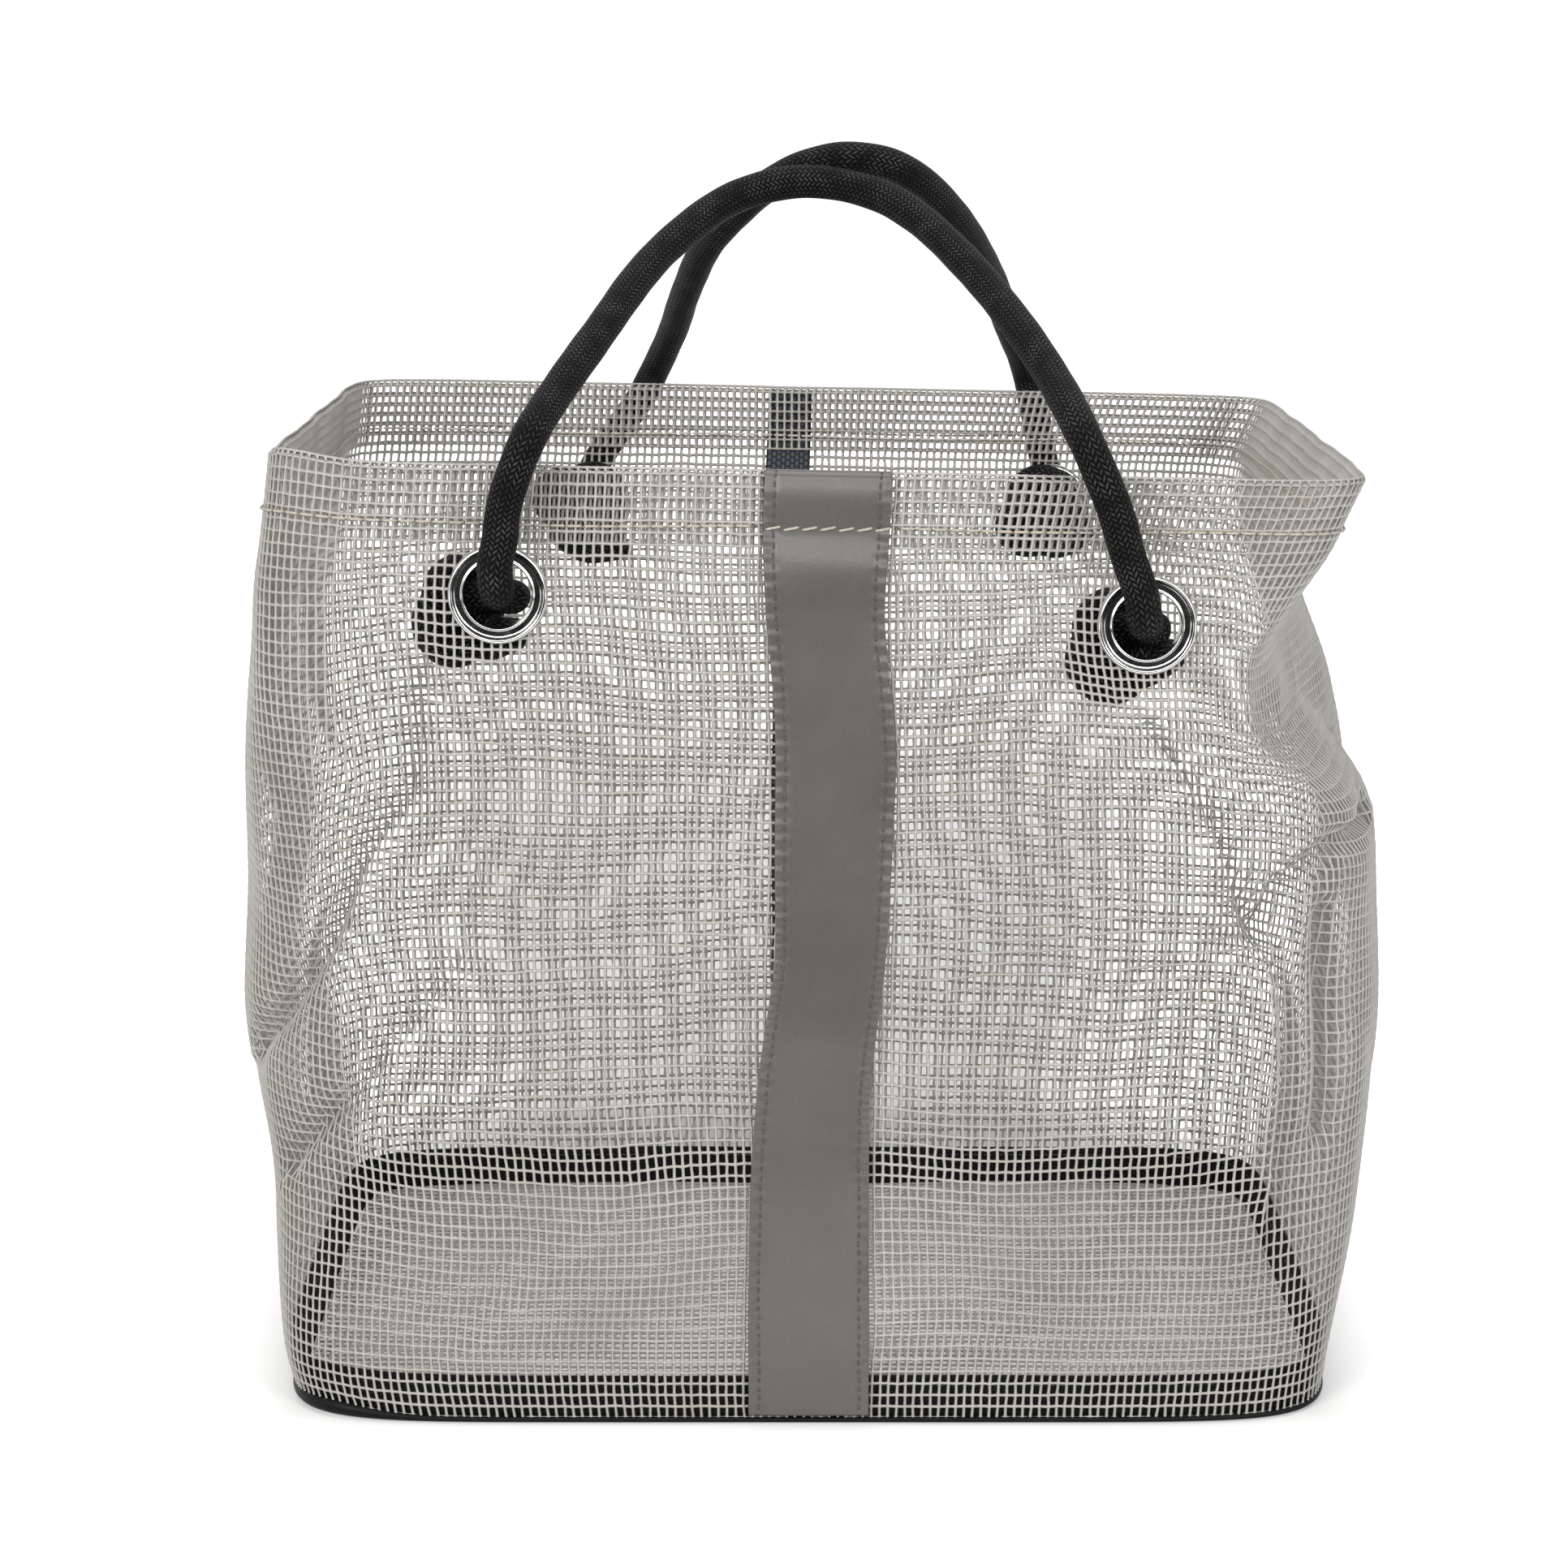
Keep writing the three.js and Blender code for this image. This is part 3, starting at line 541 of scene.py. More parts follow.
def tape_material(name, dark, light, across=1.1, along=0.9):
    """Woven tape. Its map holds millimetres along and across."""
    sh = Shader(name, Specular_IOR_Level=0.15)
    a, b = (sh.math("DIVIDE", part, size) for part, size in zip(sh.map("lay"), (along, across)))
    whole_b, part_b = cell(sh, b)
    part_a = sh.math("FRACT", sh.math("MULTIPLY_ADD", whole_b, 0.5, a))
    fuzz = sh.noise(sh.position(), 0.4, 3.0)
    height = sh.math("MULTIPLY_ADD", fuzz, 0.5, sh.times(ridge(sh, part_a), ridge(sh, part_b)))
    sh.set("Base Color", sh.ramp(height, (0.2, dark), (1.2, light)))
    sh.set("Roughness", sh.span(fuzz, 0.3, 0.7, 0.7, 0.9))
    sh.bump(height, 0.22, 1.0)
    return sh.material


def thread_material(name, dark, light):
    """Twisted sewing thread."""
    sh = Shader(name, Specular_IOR_Level=0.35, Roughness=0.6)
    place = sh.position()
    wave = {"Vector": place, "Scale": 0.7, "Distortion": 1.5}
    twist = sh.node("ShaderNodeTexWave", wave, bands_direction="DIAGONAL").outputs["Fac"]
    shade = sh.math("MULTIPLY_ADD", sh.noise(place, 0.7, 2.0), 0.6, sh.times(twist, 0.4))
    sh.set("Base Color", sh.ramp(shade, (0.2, dark), (0.8, light)))
    sh.bump(twist, 0.08, 0.8)
    return sh.material


def chrome_material():
    sh = Shader("eyelet_chrome", Metallic=1.0)
    place = sh.position()
    haze = sh.noise(place, 3.0, 4.0)
    sh.set("Base Color", sh.ramp(haze, (0.3, (0.62, 0.61, 0.605)), (0.7, (0.74, 0.735, 0.725))))
    sh.set("Roughness", sh.span(haze, 0.3, 0.75, 0.1, 0.18))
    sh.bump(sh.noise(place, 0.5, 4.0), 0.01, 0.25)
    return sh.material


def binding_material():
    """Black edging, a little uneven."""
    sh = Shader("edging", Specular_IOR_Level=0.1)
    fuzz = sh.noise(sh.position(), 1.8, 3.0)
    sh.set("Base Color", sh.ramp(fuzz, (0.3, (0.003, 0.003, 0.003)), (0.75, (0.009, 0.009, 0.01))))
    sh.set("Roughness", sh.span(fuzz, 0.3, 0.7, 0.3, 0.5))
    sh.bump(fuzz, 0.12, 0.6)
    return sh.material


MATERIALS = {
    "net": net_material(),
    "strap": strap_material(),
    "rope": rope_material(),
    "tape": tape_material("seam_tape", (0.002, 0.002, 0.002), (0.012, 0.012, 0.013)),
    "back_tape": tape_material("back_tape", (0.008, 0.01, 0.013), (0.085, 0.092, 0.105), 1.3, 1.7),
    "thread": thread_material("hem_thread", (0.38, 0.335, 0.275), (0.57, 0.53, 0.46)),
    "inner_thread": thread_material("tape_thread", (0.015, 0.015, 0.016), (0.05, 0.05, 0.052)),
    "dark_thread": thread_material("strap_thread", (0.035, 0.032, 0.034), (0.14, 0.135, 0.14)),
    "chrome": chrome_material(),
    "binding": binding_material(),
}


# Mesh building


def add_mesh(name, points, faces, material, maps=None):
    """An object from points in millimetres and faces of one size. maps: name to one (u, v) per point or per corner."""
    points, faces, maps = np.asarray(points, float), np.asarray(faces, np.int64), maps or {}
    used = np.unique(faces)
    if len(used) < len(points):
        to_new = np.full(len(points), -1)
        to_new[used] = np.arange(len(used))
        points, faces = points[used], to_new[faces]
        maps = {k: (m[used] if len(m) == len(to_new) else m) for k, m in maps.items()}
    mesh = bpy.data.meshes.new(name)
    mesh.vertices.add(len(points))
    mesh.vertices.foreach_set("co", (points / 1000.0).astype(np.float32).ravel())
    mesh.loops.add(faces.size)
    mesh.loops.foreach_set("vertex_index", faces.astype(np.int32).ravel())
    mesh.polygons.add(len(faces))
    mesh.polygons.foreach_set("loop_start", np.arange(0, faces.size, faces.shape[1], dtype=np.int32))
    mesh.update(calc_edges=True)
    mesh.validate()
    for key, at in maps.items():
        corner = at[faces.ravel()] if len(at) == len(points) and at.ndim == 2 else at.reshape(-1, 2)
        mesh.uv_layers.new(name=key).data.foreach_set("uv", corner.astype(np.float32).ravel())
    mesh.shade_smooth()
    mesh.materials.append(MATERIALS[material])
    return add_object(name, mesh)


def finish_piece(obj, material, *nodes):
    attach(obj, "bag")
    if nodes:
        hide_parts(*nodes)


def net(name, at, keep, own_last=False, own_first_row=True, caps=(False, True), fine=True,
        sizes=(UPRIGHT, LEVEL, THICK), level_shade=0.0):
    """Net as wires joined at their crossings. at holds the crossings, with one more column at either end.
    level_shade: how much painted shade darkens the level wires against the upright ones."""
    tu, tv = np.gradient(at, axis=1)[:, 1:-1], np.gradient(at, axis=0)[:, 1:-1]
    at = at[:, 1:-1]
    rows, columns = at.shape[:2]
    eu, ev, out = unit(tu), unit(tv), unit(np.cross(tu, tv))
    a, b, t = sizes
    k = 1.15 if fine else 1.0
    points = np.zeros((rows, columns, 16, 3))
    spots = np.zeros((rows, columns, 16, 2))
    next_u = np.concatenate([at[:, 1:], at[:, -1:] + tu[:, -1:]], 1)
    next_v = np.concatenate([at[1:], at[-1:] + tv[-1:]], 0)
    mid_u, mid_v = (at + next_u) / 2, (at + next_v) / 2
    # By slot: the crossing's faces and corners, the level wire's middle, the upright wire's middle, and the
    # crossing's upper and lower edges. Each has its place, its steps right, up and out, and its spot on the map.
    for slot, (middle, right, up, far, du, dv) in enumerate((
        (at, 0, 0, 1.15 * t, 0, 0), (at, 0, 0, -1.15 * t, 0, 0),
        (at, a * k, b * k, 0, 0.2, 0.2), (at, -a * k, b * k, 0, -0.2, 0.2),
        (at, -a * k, -b * k, 0, -0.2, -0.2), (at, a * k, -b * k, 0, 0.2, -0.2),
        (mid_u, 0, 0, 0.9 * t, 0.5, 0), (mid_u, 0, 0, -0.9 * t, 0.5, 0),
        (mid_u, 0, b, 0, 0.5, 0.2), (mid_u, 0, -b, 0, 0.5, -0.2),
        (mid_v, 0, 0, 0.9 * t, 0, 0.5), (mid_v, 0, 0, -0.9 * t, 0, 0.5),
        (mid_v, a, 0, 0, 0.2, 0.5), (mid_v, -a, 0, 0, -0.2, 0.5),
        (at, 0, b, 0, 0, 0.2), (at, 0, -b, 0, 0, -0.2),
    )):
        points[:, :, slot] = middle + eu * right + ev * up + out * far
        spots[:, :, slot] = (du, dv)
    column, row = np.meshgrid(np.arange(columns), np.arange(rows))
    spots += np.stack([column, row], -1)[:, :, None, :] + 0.5
    spots /= (columns, rows)

    index = np.arange(rows * columns * 16).reshape(rows, columns, 16)
    faces = []

    def quads(first, other, listed, where):
        """listed: corners as slots, those of the other crossing written from 100."""
        for corners in listed:
            quad = np.stack([(other[..., c - 100] if c >= 100 else first[..., c]) for c in corners], -1)
            faces.append(quad[where])

    if fine:
        level = [(0, 6, 8, 2), (1, 2, 8, 7), (0, 5, 9, 6), (1, 7, 9, 5),
                 (6, 100, 103, 8), (7, 8, 103, 101), (6, 9, 104, 100), (7, 101, 104, 9)]
        upright = [(0, 2, 12, 10), (1, 11, 12, 2), (0, 10, 13, 3), (1, 3, 13, 11),
                   (10, 12, 105, 100), (11, 101, 105, 12), (10, 100, 104, 13), (11, 13, 104, 101)]
    else:
        level = [(0, 100, 103, 2), (1, 2, 103, 101), (0, 5, 104, 100), (1, 101, 104, 5)]
        upright = [(0, 2, 105, 100), (1, 101, 105, 2), (0, 100, 104, 3), (1, 3, 104, 101)]
    start = 0 if own_first_row else 1
    quads(index[start:, :-1], index[start:, 1:], level, keep[start:, :-1] & keep[start:, 1:])
    last = columns if own_last else columns - 1
    quads(index[:-1, :last], index[1:, :last], upright, keep[:-1, :last] & keep[1:, :last])
    for wanted, line, (left, tip, right) in ((caps[0], 0, (4, 15, 5)), (caps[1], -1, (2, 14, 3))):
        if wanted:
            here = index[line, :last]
            quads(here, here, ((0, left, tip, right), (1, right, tip, left)), keep[line, :last])
    # Painted shade on the level wires: a share, less at the crossings and none on the upright wires.
    level_shade_share = np.zeros((rows, columns, 16, 2))
    level_shade_share += np.broadcast_to(level_shade, columns)[:, None, None]
    level_shade_share[:, :, :6] *= 0.4
    level_shade_share[:, :, 10:] = 0
    return add_mesh(name, points.reshape(-1, 3), np.concatenate([f.reshape(-1, 4) for f in faces]), "net",
                    {"OFBake": spots.reshape(-1, 2), "weft_shade": level_shade_share.reshape(-1, 2)})


def spline(points, step):
    """Points at even steps along a smooth curve through the given points."""
    points = np.asarray(points, float)
    padded = np.concatenate([[2 * points[0] - points[1]], points, [2 * points[-1] - points[-2]]])
    dense = []
    for i in range(1, len(padded) - 2):
        p0, p1, p2, p3 = padded[i - 1:i + 3]
        t1 = np.linalg.norm(p1 - p0) ** 0.5
        t2 = t1 + np.linalg.norm(p2 - p1) ** 0.5
        t3 = t2 + np.linalg.norm(p3 - p2) ** 0.5
        t = np.linspace(t1, t2, 25)[:-1, None]
        a1 = (t1 - t) / t1 * p0 + t / t1 * p1
        a2 = (t2 - t) / (t2 - t1) * p1 + (t - t1) / (t2 - t1) * p2
        a3 = (t3 - t) / (t3 - t2) * p2 + (t - t2) / (t3 - t2) * p3
        b1 = (t2 - t) / t2 * a1 + t / t2 * a2
        b2 = (t3 - t) / (t3 - t1) * a2 + (t - t1) / (t3 - t1) * a3
        dense.append((t2 - t) / (t2 - t1) * b1 + (t - t1) / (t2 - t1) * b2)
    dense = np.concatenate(dense + [points[-1:]])
    lengths = lengths_along(dense)
    at = np.linspace(0, lengths[-1], max(int(round(lengths[-1] / step)), 2) + 1)
    return np.stack([np.interp(at, lengths, dense[:, i]) for i in range(3)], 1)


def frames(path):
    """Two directions square to the path at each of its points, turning as little as can be."""
    along = unit(np.gradient(path, axis=0))
    first = np.cross(along[0], (0.0, 0.0, 1.0))
    if np.linalg.norm(first) < 0.1:
        first = np.cross(along[0], (1.0, 0.0, 0.0))
    side = [unit(first)]
    for i in range(1, len(path)):
        v = side[-1] - along[i] * np.dot(side[-1], along[i])
        side.append(unit(v))
    side = np.array(side)
    return side, np.cross(along, side)


def tube_points(path, radius, around):
    """Rings of points round a path."""
    side, up = frames(path)
    angle = np.linspace(0, 2 * math.pi, around, endpoint=False)
    radius = np.broadcast_to(radius, len(path))[:, None, None]
    ring = side[:, None] * np.cos(angle)[None, :, None] + up[:, None] * np.sin(angle)[None, :, None]
    return path[:, None] + ring * radius


def ring_faces(index, open_ends=False):
    """Faces over a grid of points that closes on itself both ways, or only across."""
    right = np.roll(index, -1, axis=1)
    faces = np.stack([index, right, np.roll(right, -1, axis=0), np.roll(index, -1, axis=0)], -1)
    return (faces[:-1] if open_ends else faces).reshape(-1, 4)


def tube_faces(rings, around):
    return ring_faces(np.arange(rings * around).reshape(rings, around), open_ends=True)


def face_corners(rows, columns):
    """The row and the column of each face's four corners, on a grid of faces."""
    i, j = np.indices((rows, columns))
    return np.stack([i, i, i + 1, i + 1], -1), np.stack([j, j + 1, j + 1, j], -1)


def strip_map(along, across, strips):
    """A map in strips that fill the square, from each corner's shares along and across."""
    strip = np.minimum((along[..., :1] * strips).astype(int), strips - 1)
    pack = np.stack([0.01 + 0.98 * (along * strips - strip), (strip + 0.04 + 0.92 * across) / strips], -1)
    return pack.reshape(-1, 2)


def tube_maps(around, lengths, girth, strips):
    """Maps of a tube by corner: lay, in turns and girths, and OFBake, in strips."""
    turn = np.arange(around + 1) / around
    a, b = face_corners(len(lengths) - 1, around)
    along = (lengths - lengths[0]) / (lengths[-1] - lengths[0])
    lay = np.stack([turn[b], lengths[a] / girth], -1).reshape(-1, 2)
    return {"lay": lay, "OFBake": strip_map(along[a], turn[b], strips)}


def many_tubes(name, paths, radius, material):
    """Short closed tubes with round ends, such as stitches, in one mesh."""
    around = 6
    points, faces, spots = [], [], []
    base = 0
    side = math.ceil(math.sqrt(len(paths)))
    for n, path in enumerate(paths):
        count = len(path)
        width = radius * np.sqrt(np.maximum(1 - np.abs(np.linspace(-1, 1, count)) ** 6, 0.02))
        points.append(tube_points(path, width, around).reshape(-1, 3))
        faces.append(tube_faces(count, around) + base)
        v, u = np.meshgrid(np.arange(count) / count, np.arange(around) / around, indexing="ij")
        spots.append(np.stack([(n % side + 0.9 * u) / side, (n // side + 0.9 * v) / side], -1).reshape(-1, 2))
        base += count * around
    return add_mesh(name, np.concatenate(points), np.concatenate(faces), material, {"OFBake": np.concatenate(spots)})


def flat_sleeve(outer, inner, first_turn):
    """Points and faces of a flat sleeve from its outer and inner face, closed at both ends."""
    ring = np.concatenate([outer, inner[:, ::-1]], 1)
    count, around = ring.shape[:2]
    index = np.arange(count * around).reshape(count, around)
    ends = []
    for line, turn in ((0, first_turn), (-1, -first_turn)):
        for c in range(outer.shape[1] - 1):
            quad = [index[line, c], index[line, c + 1], index[line, around - 2 - c], index[line, around - 1 - c]]
            ends.append(quad[::turn])
    return ring.reshape(-1, 3), np.concatenate([tube_faces(count, around), np.array(ends)])


# Net walls, each in two pieces from its middle to a corner. Their level wires carry painted shade, most on the back,
# which is seen from inside.
FRONT_LEVEL_SHADE, BACK_LEVEL_SHADE = 0.12, 0.68
ROW_PITCH = ((0, 110, 185, 220), (2.92, 2.8, 2.69, 2.62))
heights = [NET_TOP]
while heights[-1] > NET_FOOT + 2.2:
    heights.append(heights[-1] - np.interp(heights[-1], *ROW_PITCH))
heights = np.array(heights[::-1])
heights = NET_FOOT + (heights - heights[0]) * (NET_TOP - NET_FOOT) / (NET_TOP - heights[0])
ROW_WIDTH = (LEVEL * (1 + 0.1 * rng.uniform(-1, 1, len(heights))))[:, None, None]
ROW_WIDTH[-2] *= 1.35
WOBBLE = rng.normal(0.0, 0.07, (2, len(heights), COLUMNS, 1))
WALLS = [("net_right_rear", "wall_net_right"), ("net_back_right", "wall_net_back"),
         ("net_back_left", "wall_net_back"), ("net_left_rear", "wall_net_left"),
         ("net_left_fore", "wall_net_left"), ("net_front_left", "wall_net_front"),
         ("net_front_right", "wall_net_front"), ("net_right_fore", "wall_net_right")]


HOLE = BORE + 1.6


def holes(at):
    """True where a crossing isn't in the hole that an eyelet fills."""
    keep = np.ones(at.shape[:2], bool)
    for point, normal in EYELET_SPOTS:
        away = at - point
        along = away @ normal
        square = np.linalg.norm(away - along[..., None] * normal, axis=-1)
        keep &= (square >= HOLE) | (np.abs(along) >= 15)
    return keep


for k, (name, node) in enumerate(WALLS):
    columns = np.arange(STARTS[k] - 1, STARTS[k + 1] + 2)
    at = wall(columns, heights, -0.5)
    wobble = WOBBLE[:, :, columns % COLUMNS]
    at = at + unit(np.gradient(at, axis=1)) * wobble[0] + unit(np.gradient(at, axis=0)) * wobble[1]
    piece = net(name, at, holes(at[:, 1:-1]), caps=(True, False), sizes=(UPRIGHT, ROW_WIDTH, THICK),
                level_shade=BACK_LEVEL_SHADE if node == "wall_net_back" else FRONT_LEVEL_SHADE)
    finish_piece(piece, "net", node)

# Hem: over the rim and down inside. Its columns lie between those of the wall. The fold turns the rows over, so
# the sheet's outer side is kept by running the columns the other way round.
BACK_SEAM = 4.7
HEM_ROWS = [(NET_TOP, -0.5), (225.9, -1.25), (NET_TOP - 0.3, -2.0), (221.9, -2.15), (219.3, -2.2), (216.7, -2.2),
            (214.1, -2.1), (211.5, -2.1), (208.9, -2.15)]
columns = np.arange(-1, COLUMNS + 2)
rear = (columns > STARTS[1]) & (columns < STARTS[3])
back_u = STARTS[2] + BACK_SEAM / COLUMN_PITCH
over_tape = 0.65 * np.exp(-(((columns - back_u) * COLUMN_PITCH / 8) ** 4))
hem = []
for j, (height, offset) in enumerate(HEM_ROWS):
    shift = 0.0 if j < 2 else np.where(rear, 0.2, 0.36) + 0.08 * np.sin(0.21 * columns)
    line, inner = (wall(columns + shift, [height], o)[0] for o in (offset, offset - 1))
    hem.append(line + (inner - line) * over_tape[:, None] if j else line)
hem = np.array(hem)[:, ::-1]
# The hem's level wires get painted shade, more at the rear.
piece = net("net_hem", hem, holes(hem[:, 1:-1]), own_first_row=False, level_shade=np.where(rear, 0.6, 0.15)[::-1][1:-1])
finish_piece(piece, "net", "rim_hem")

# Base
grid_x, grid_y = np.meshgrid(np.arange(-63, 64) * COLUMN_PITCH, np.linspace(-92.5, 86.5, 61))
sag = 0.35 * np.sin(0.06 * grid_x + 1) * np.sin(0.07 * grid_y)
base = np.stack([grid_x + 0.3 * np.sin(0.05 * grid_y), grid_y + 0.4 * np.sin(0.04 * grid_x), 0.95 + sag], -1)
left, right, front, back, n = wall_shape(0.0)
inside = (np.abs(grid_x) / (np.where(grid_x < 0, left, right) - 1.2)) ** n
inside = inside + (np.abs(grid_y) / (np.where(grid_y < 0, front, back) - 1.2)) ** n < 1
piece = net("net_base", base, inside[:, 1:-1], own_last=True, caps=(True, True), fine=False)
finish_piece(piece, "net", "base_net")

# Tape over the base's seam, standing inside the walls, with a rounded section
around = np.linspace(0, COLUMNS, 700, endpoint=False)
tape_heights = np.array([0.7, 1.4, 3.2, 5.0, 6.8, 8.6, 10.1, 11.2])
bulge = np.array([-0.5, -0.1, 0.0, 0.1, 0.1, 0.0, -0.1, -0.45])
near, far = ([wall(around, [z], offset)[0] for z, offset in zip(tape_heights, offsets)]
             for offsets in (-1.35 + bulge * 0.6, -3.0 - bulge * 0.8))
ring = np.array(near + far[::-1])
along = lengths_along(np.append(ring[0], ring[0, :1], 0))
across = lengths_along(np.append(ring[:, 0], ring[:1, 0], 0))
a, b = face_corners(*ring.shape[:2])
faces = ring_faces(np.arange(ring[..., 0].size).reshape(ring.shape[:2]))
piece = add_mesh("base_tape", ring.reshape(-1, 3), faces, "tape", {
    "lay": np.stack([along[b], across[a]], -1).reshape(-1, 2),
    "OFBake": strip_map(along[b] / along[-1], across[a] / across[-1], 8),
})
finish_piece(piece, "tape", "base_seam_tape")

# Seam of the base tape: a row of stitches near its top, on either face
length, pitch = 1.25, 1.62
paths = []
u = 0.0
while u < COLUMNS - 1:
    for offset in (-3.25, -1.1):
        paths.append(wall(np.linspace(u, u + length, 6), [9.4], offset)[0])
    u += pitch
piece = many_tubes("base_tape_thread", paths, 0.26, "inner_thread")
finish_piece(piece, "inner_thread")

# Black edging under the front and side walls. It shows most at the front left corner, where the net climbs.
EDGING_SIDES = 12
climb = np.exp(-((round_wall(around) + 123) ** 2) / 260)
at, normal = outline_frame(around, 1.0)
rings = []
for angle in np.linspace(0, 2 * math.pi, EDGING_SIDES, endpoint=False):
    out = -0.55 + (0.8 + 0.5 * climb) * np.cos(angle)
    up = (0.8 + 1.2 * climb) + (0.72 + 1.1 * climb) * np.sin(angle)
    rings.append(np.concatenate([at + normal * out[:, None], up[:, None]], 1))
rings = np.array(rings).transpose(1, 0, 2)
rings = np.concatenate([rings, rings[:1]])
pack = tube_maps(EDGING_SIDES, lengths_along(rings[:, 0]), 7.0, 10)["OFBake"]
piece = add_mesh("foot_edging", rings.reshape(-1, 3), tube_faces(len(rings), EDGING_SIDES)[:, ::-1], "binding",
                 {"OFBake": pack.reshape(-1, 4, 2)[:, ::-1]})
finish_piece(piece, "binding")

# Tape over the upright seam inside the back wall, with its edges a little curled
TAPE_WIDTH = 12.5
TUCK = HEIGHT - HEM_DEPTH - 4
rows = np.concatenate([[10.6], np.linspace(12, 224, 72), [224.6]])
across = np.linspace(-0.5, 0.5, 15)
curl = 0.25 * (np.abs(across) * 2) ** 4
near_face, far_face = [], []
for z in rows:
    lean = 0.9 * math.sin(z * 0.02 + 0.5) + 0.35 * math.sin(z * 0.09)
    ripple = 0.18 * math.sin(z * 0.31) + 0.12 * math.sin(z * 0.73 + 1)
    thick = 0.84 * (1 - (np.abs(across) * 2) ** 8 * 0.7)
    near = NET_INSIDE - 0.35 - curl - ripple * 0.3
    if z > TUCK:
        under = min((z - TUCK) / 4, 1)
        near = near * (1 - under) - 1.2 * under
        thick = thick * (1 - 0.3 * under)
    line = wall(back_u - (across * TAPE_WIDTH + lean) / COLUMN_PITCH, [z])[0]
    near_face.append(line + np.outer(near, (0, 1, 0)))
    far_face.append(line + np.outer(near - thick, (0, 1, 0)))
points, faces = flat_sleeve(np.array(near_face), np.array(far_face), 1)
lay = np.stack(np.broadcast_arrays(rows[:, None], np.concatenate([across, across[::-1] + 1.1]) * TAPE_WIDTH), -1)
pack = 0.02 + 0.96 * ((lay - lay.min((0, 1))) / np.ptp(lay, axis=(0, 1)))[..., ::-1]
piece = add_mesh("back_tape", points, faces, "back_tape", {"lay": lay.reshape(-1, 2), "OFBake": pack.reshape(-1, 2)})
finish_piece(piece, "back_tape", "back_seam_tape")


# Strap


def soft_interp(z, places, values, reach, count):
    """Interpolation with its corners rounded over a reach."""
    return np.mean([np.interp(z + d, places, values) for d in np.linspace(-reach, reach, count)], axis=0)


STRAP_ROWS = np.array([
    # height, centre, width
    [0.0, -0.9, 28.4], [31, -0.9, 28.2], [62, -0.8, 27.6], [85, 0.1, 26.2], [101, 2.1, 25.6], [114, 3.9, 25.2],
    [136, 4.5, 26.6], [162, 5.1, 27.2], [177, 4.2, 26.8], [194, 2.4, 26.6], [206, 2.6, 27.8], [214, 2.8, 28.6],
    [226, 3.3, 28.4],
]).T
STRAP_STANDS = np.array([
    # height, how far the strap's outer face stands from the wall
    [0, 1.4], [8, 1.6], [40, 1.5], [70, 1.7], [96, 2.6], [112, 2.2], [130, 1.6], [170, 1.5], [186, 1.8], [194, 2.5],
    [199, 2.95], [202, 3.0], [205, 2.75], [208, 2.1], [211, 1.35], [213.4, 0.95], [216, 1.4], [219, 1.95],
    [222, 1.85], [224, 1.4], [226, 0.7],
]).T
STRAP_FOOT, STRAP_TOP = 2.6, HEIGHT - 1.2
STRAP_ARC = math.pi * 3.1
STRAP_THICK = 1.15
HEM_MIDDLE = -1.5
STITCH_SHARE = 0.83


def strap_line(z):
    """Centre and width of the strap at a height."""
    z = np.clip(z, 0, HEIGHT)
    return tuple(soft_interp(z, STRAP_ROWS[0], values, 6, 9) for values in STRAP_ROWS[1:])


def strap_rise(z, share):
    """How far the strap's outer face stands from the wall at a height and a share from -1 to 1 across it."""
    rise = soft_interp(z, *STRAP_STANDS, 1.6, 7)
    edge, side = np.abs(share), np.sign(share)
    # The edge seams pull in, and the edges between their stitches pucker.
    seam = np.exp(-(((edge - STITCH_SHARE) / 0.05) ** 2))
    pucker = np.clip((edge - 0.7) / 0.3, 0, 1) * 0.22 * np.sin(z * 2 * math.pi / 3.6 + 2.0 * side)
    slack = np.clip((edge - 0.6) / 0.4, 0, 1) * 0.3 * np.sin(z * 0.11 + 1.7 * side)
    free = np.clip(z / 12, 0, 1) * np.clip((HEIGHT - z) / 8, 0, 1)
    return rise - 0.28 * seam + (pucker + slack) * free - 0.875 * np.clip(edge - 0.9, 0, 1)


def strap_surface(t, share, depth=0.0):
    """Points of the strap at lengths t up from its foot and over the rim, shares across, and a depth."""
    t, share = np.broadcast_arrays(np.asarray(t, float), np.asarray(share, float))
    turn = np.clip((t - STRAP_TOP) / STRAP_ARC, 0, 1) * math.pi
    drop = np.clip(t - STRAP_TOP - STRAP_ARC, 0, None)
    level = np.where(drop > 0, STRAP_TOP - drop, np.clip(t, STRAP_FOOT, STRAP_TOP))
    centre, width = strap_line(level)
    x = centre + share * width / 2
    z = np.minimum(t, STRAP_TOP)
    face = strap_rise(np.maximum(z, STRAP_FOOT), share) * (1 - turn / math.pi) + 0.8 * turn / math.pi
    # Over the rim the section turns about a line in the middle of the hem.
    reach = face - depth - HEM_MIDDLE
    points, normal = front_frame(x, level)
    normal[..., 2] = 0
    points = points + unit(normal) * (HEM_MIDDLE + reach * np.cos(turn))[..., None]
    points[..., 2] += reach * np.sin(turn) * 0.62 + tilt(points[..., 0], level)
    return points


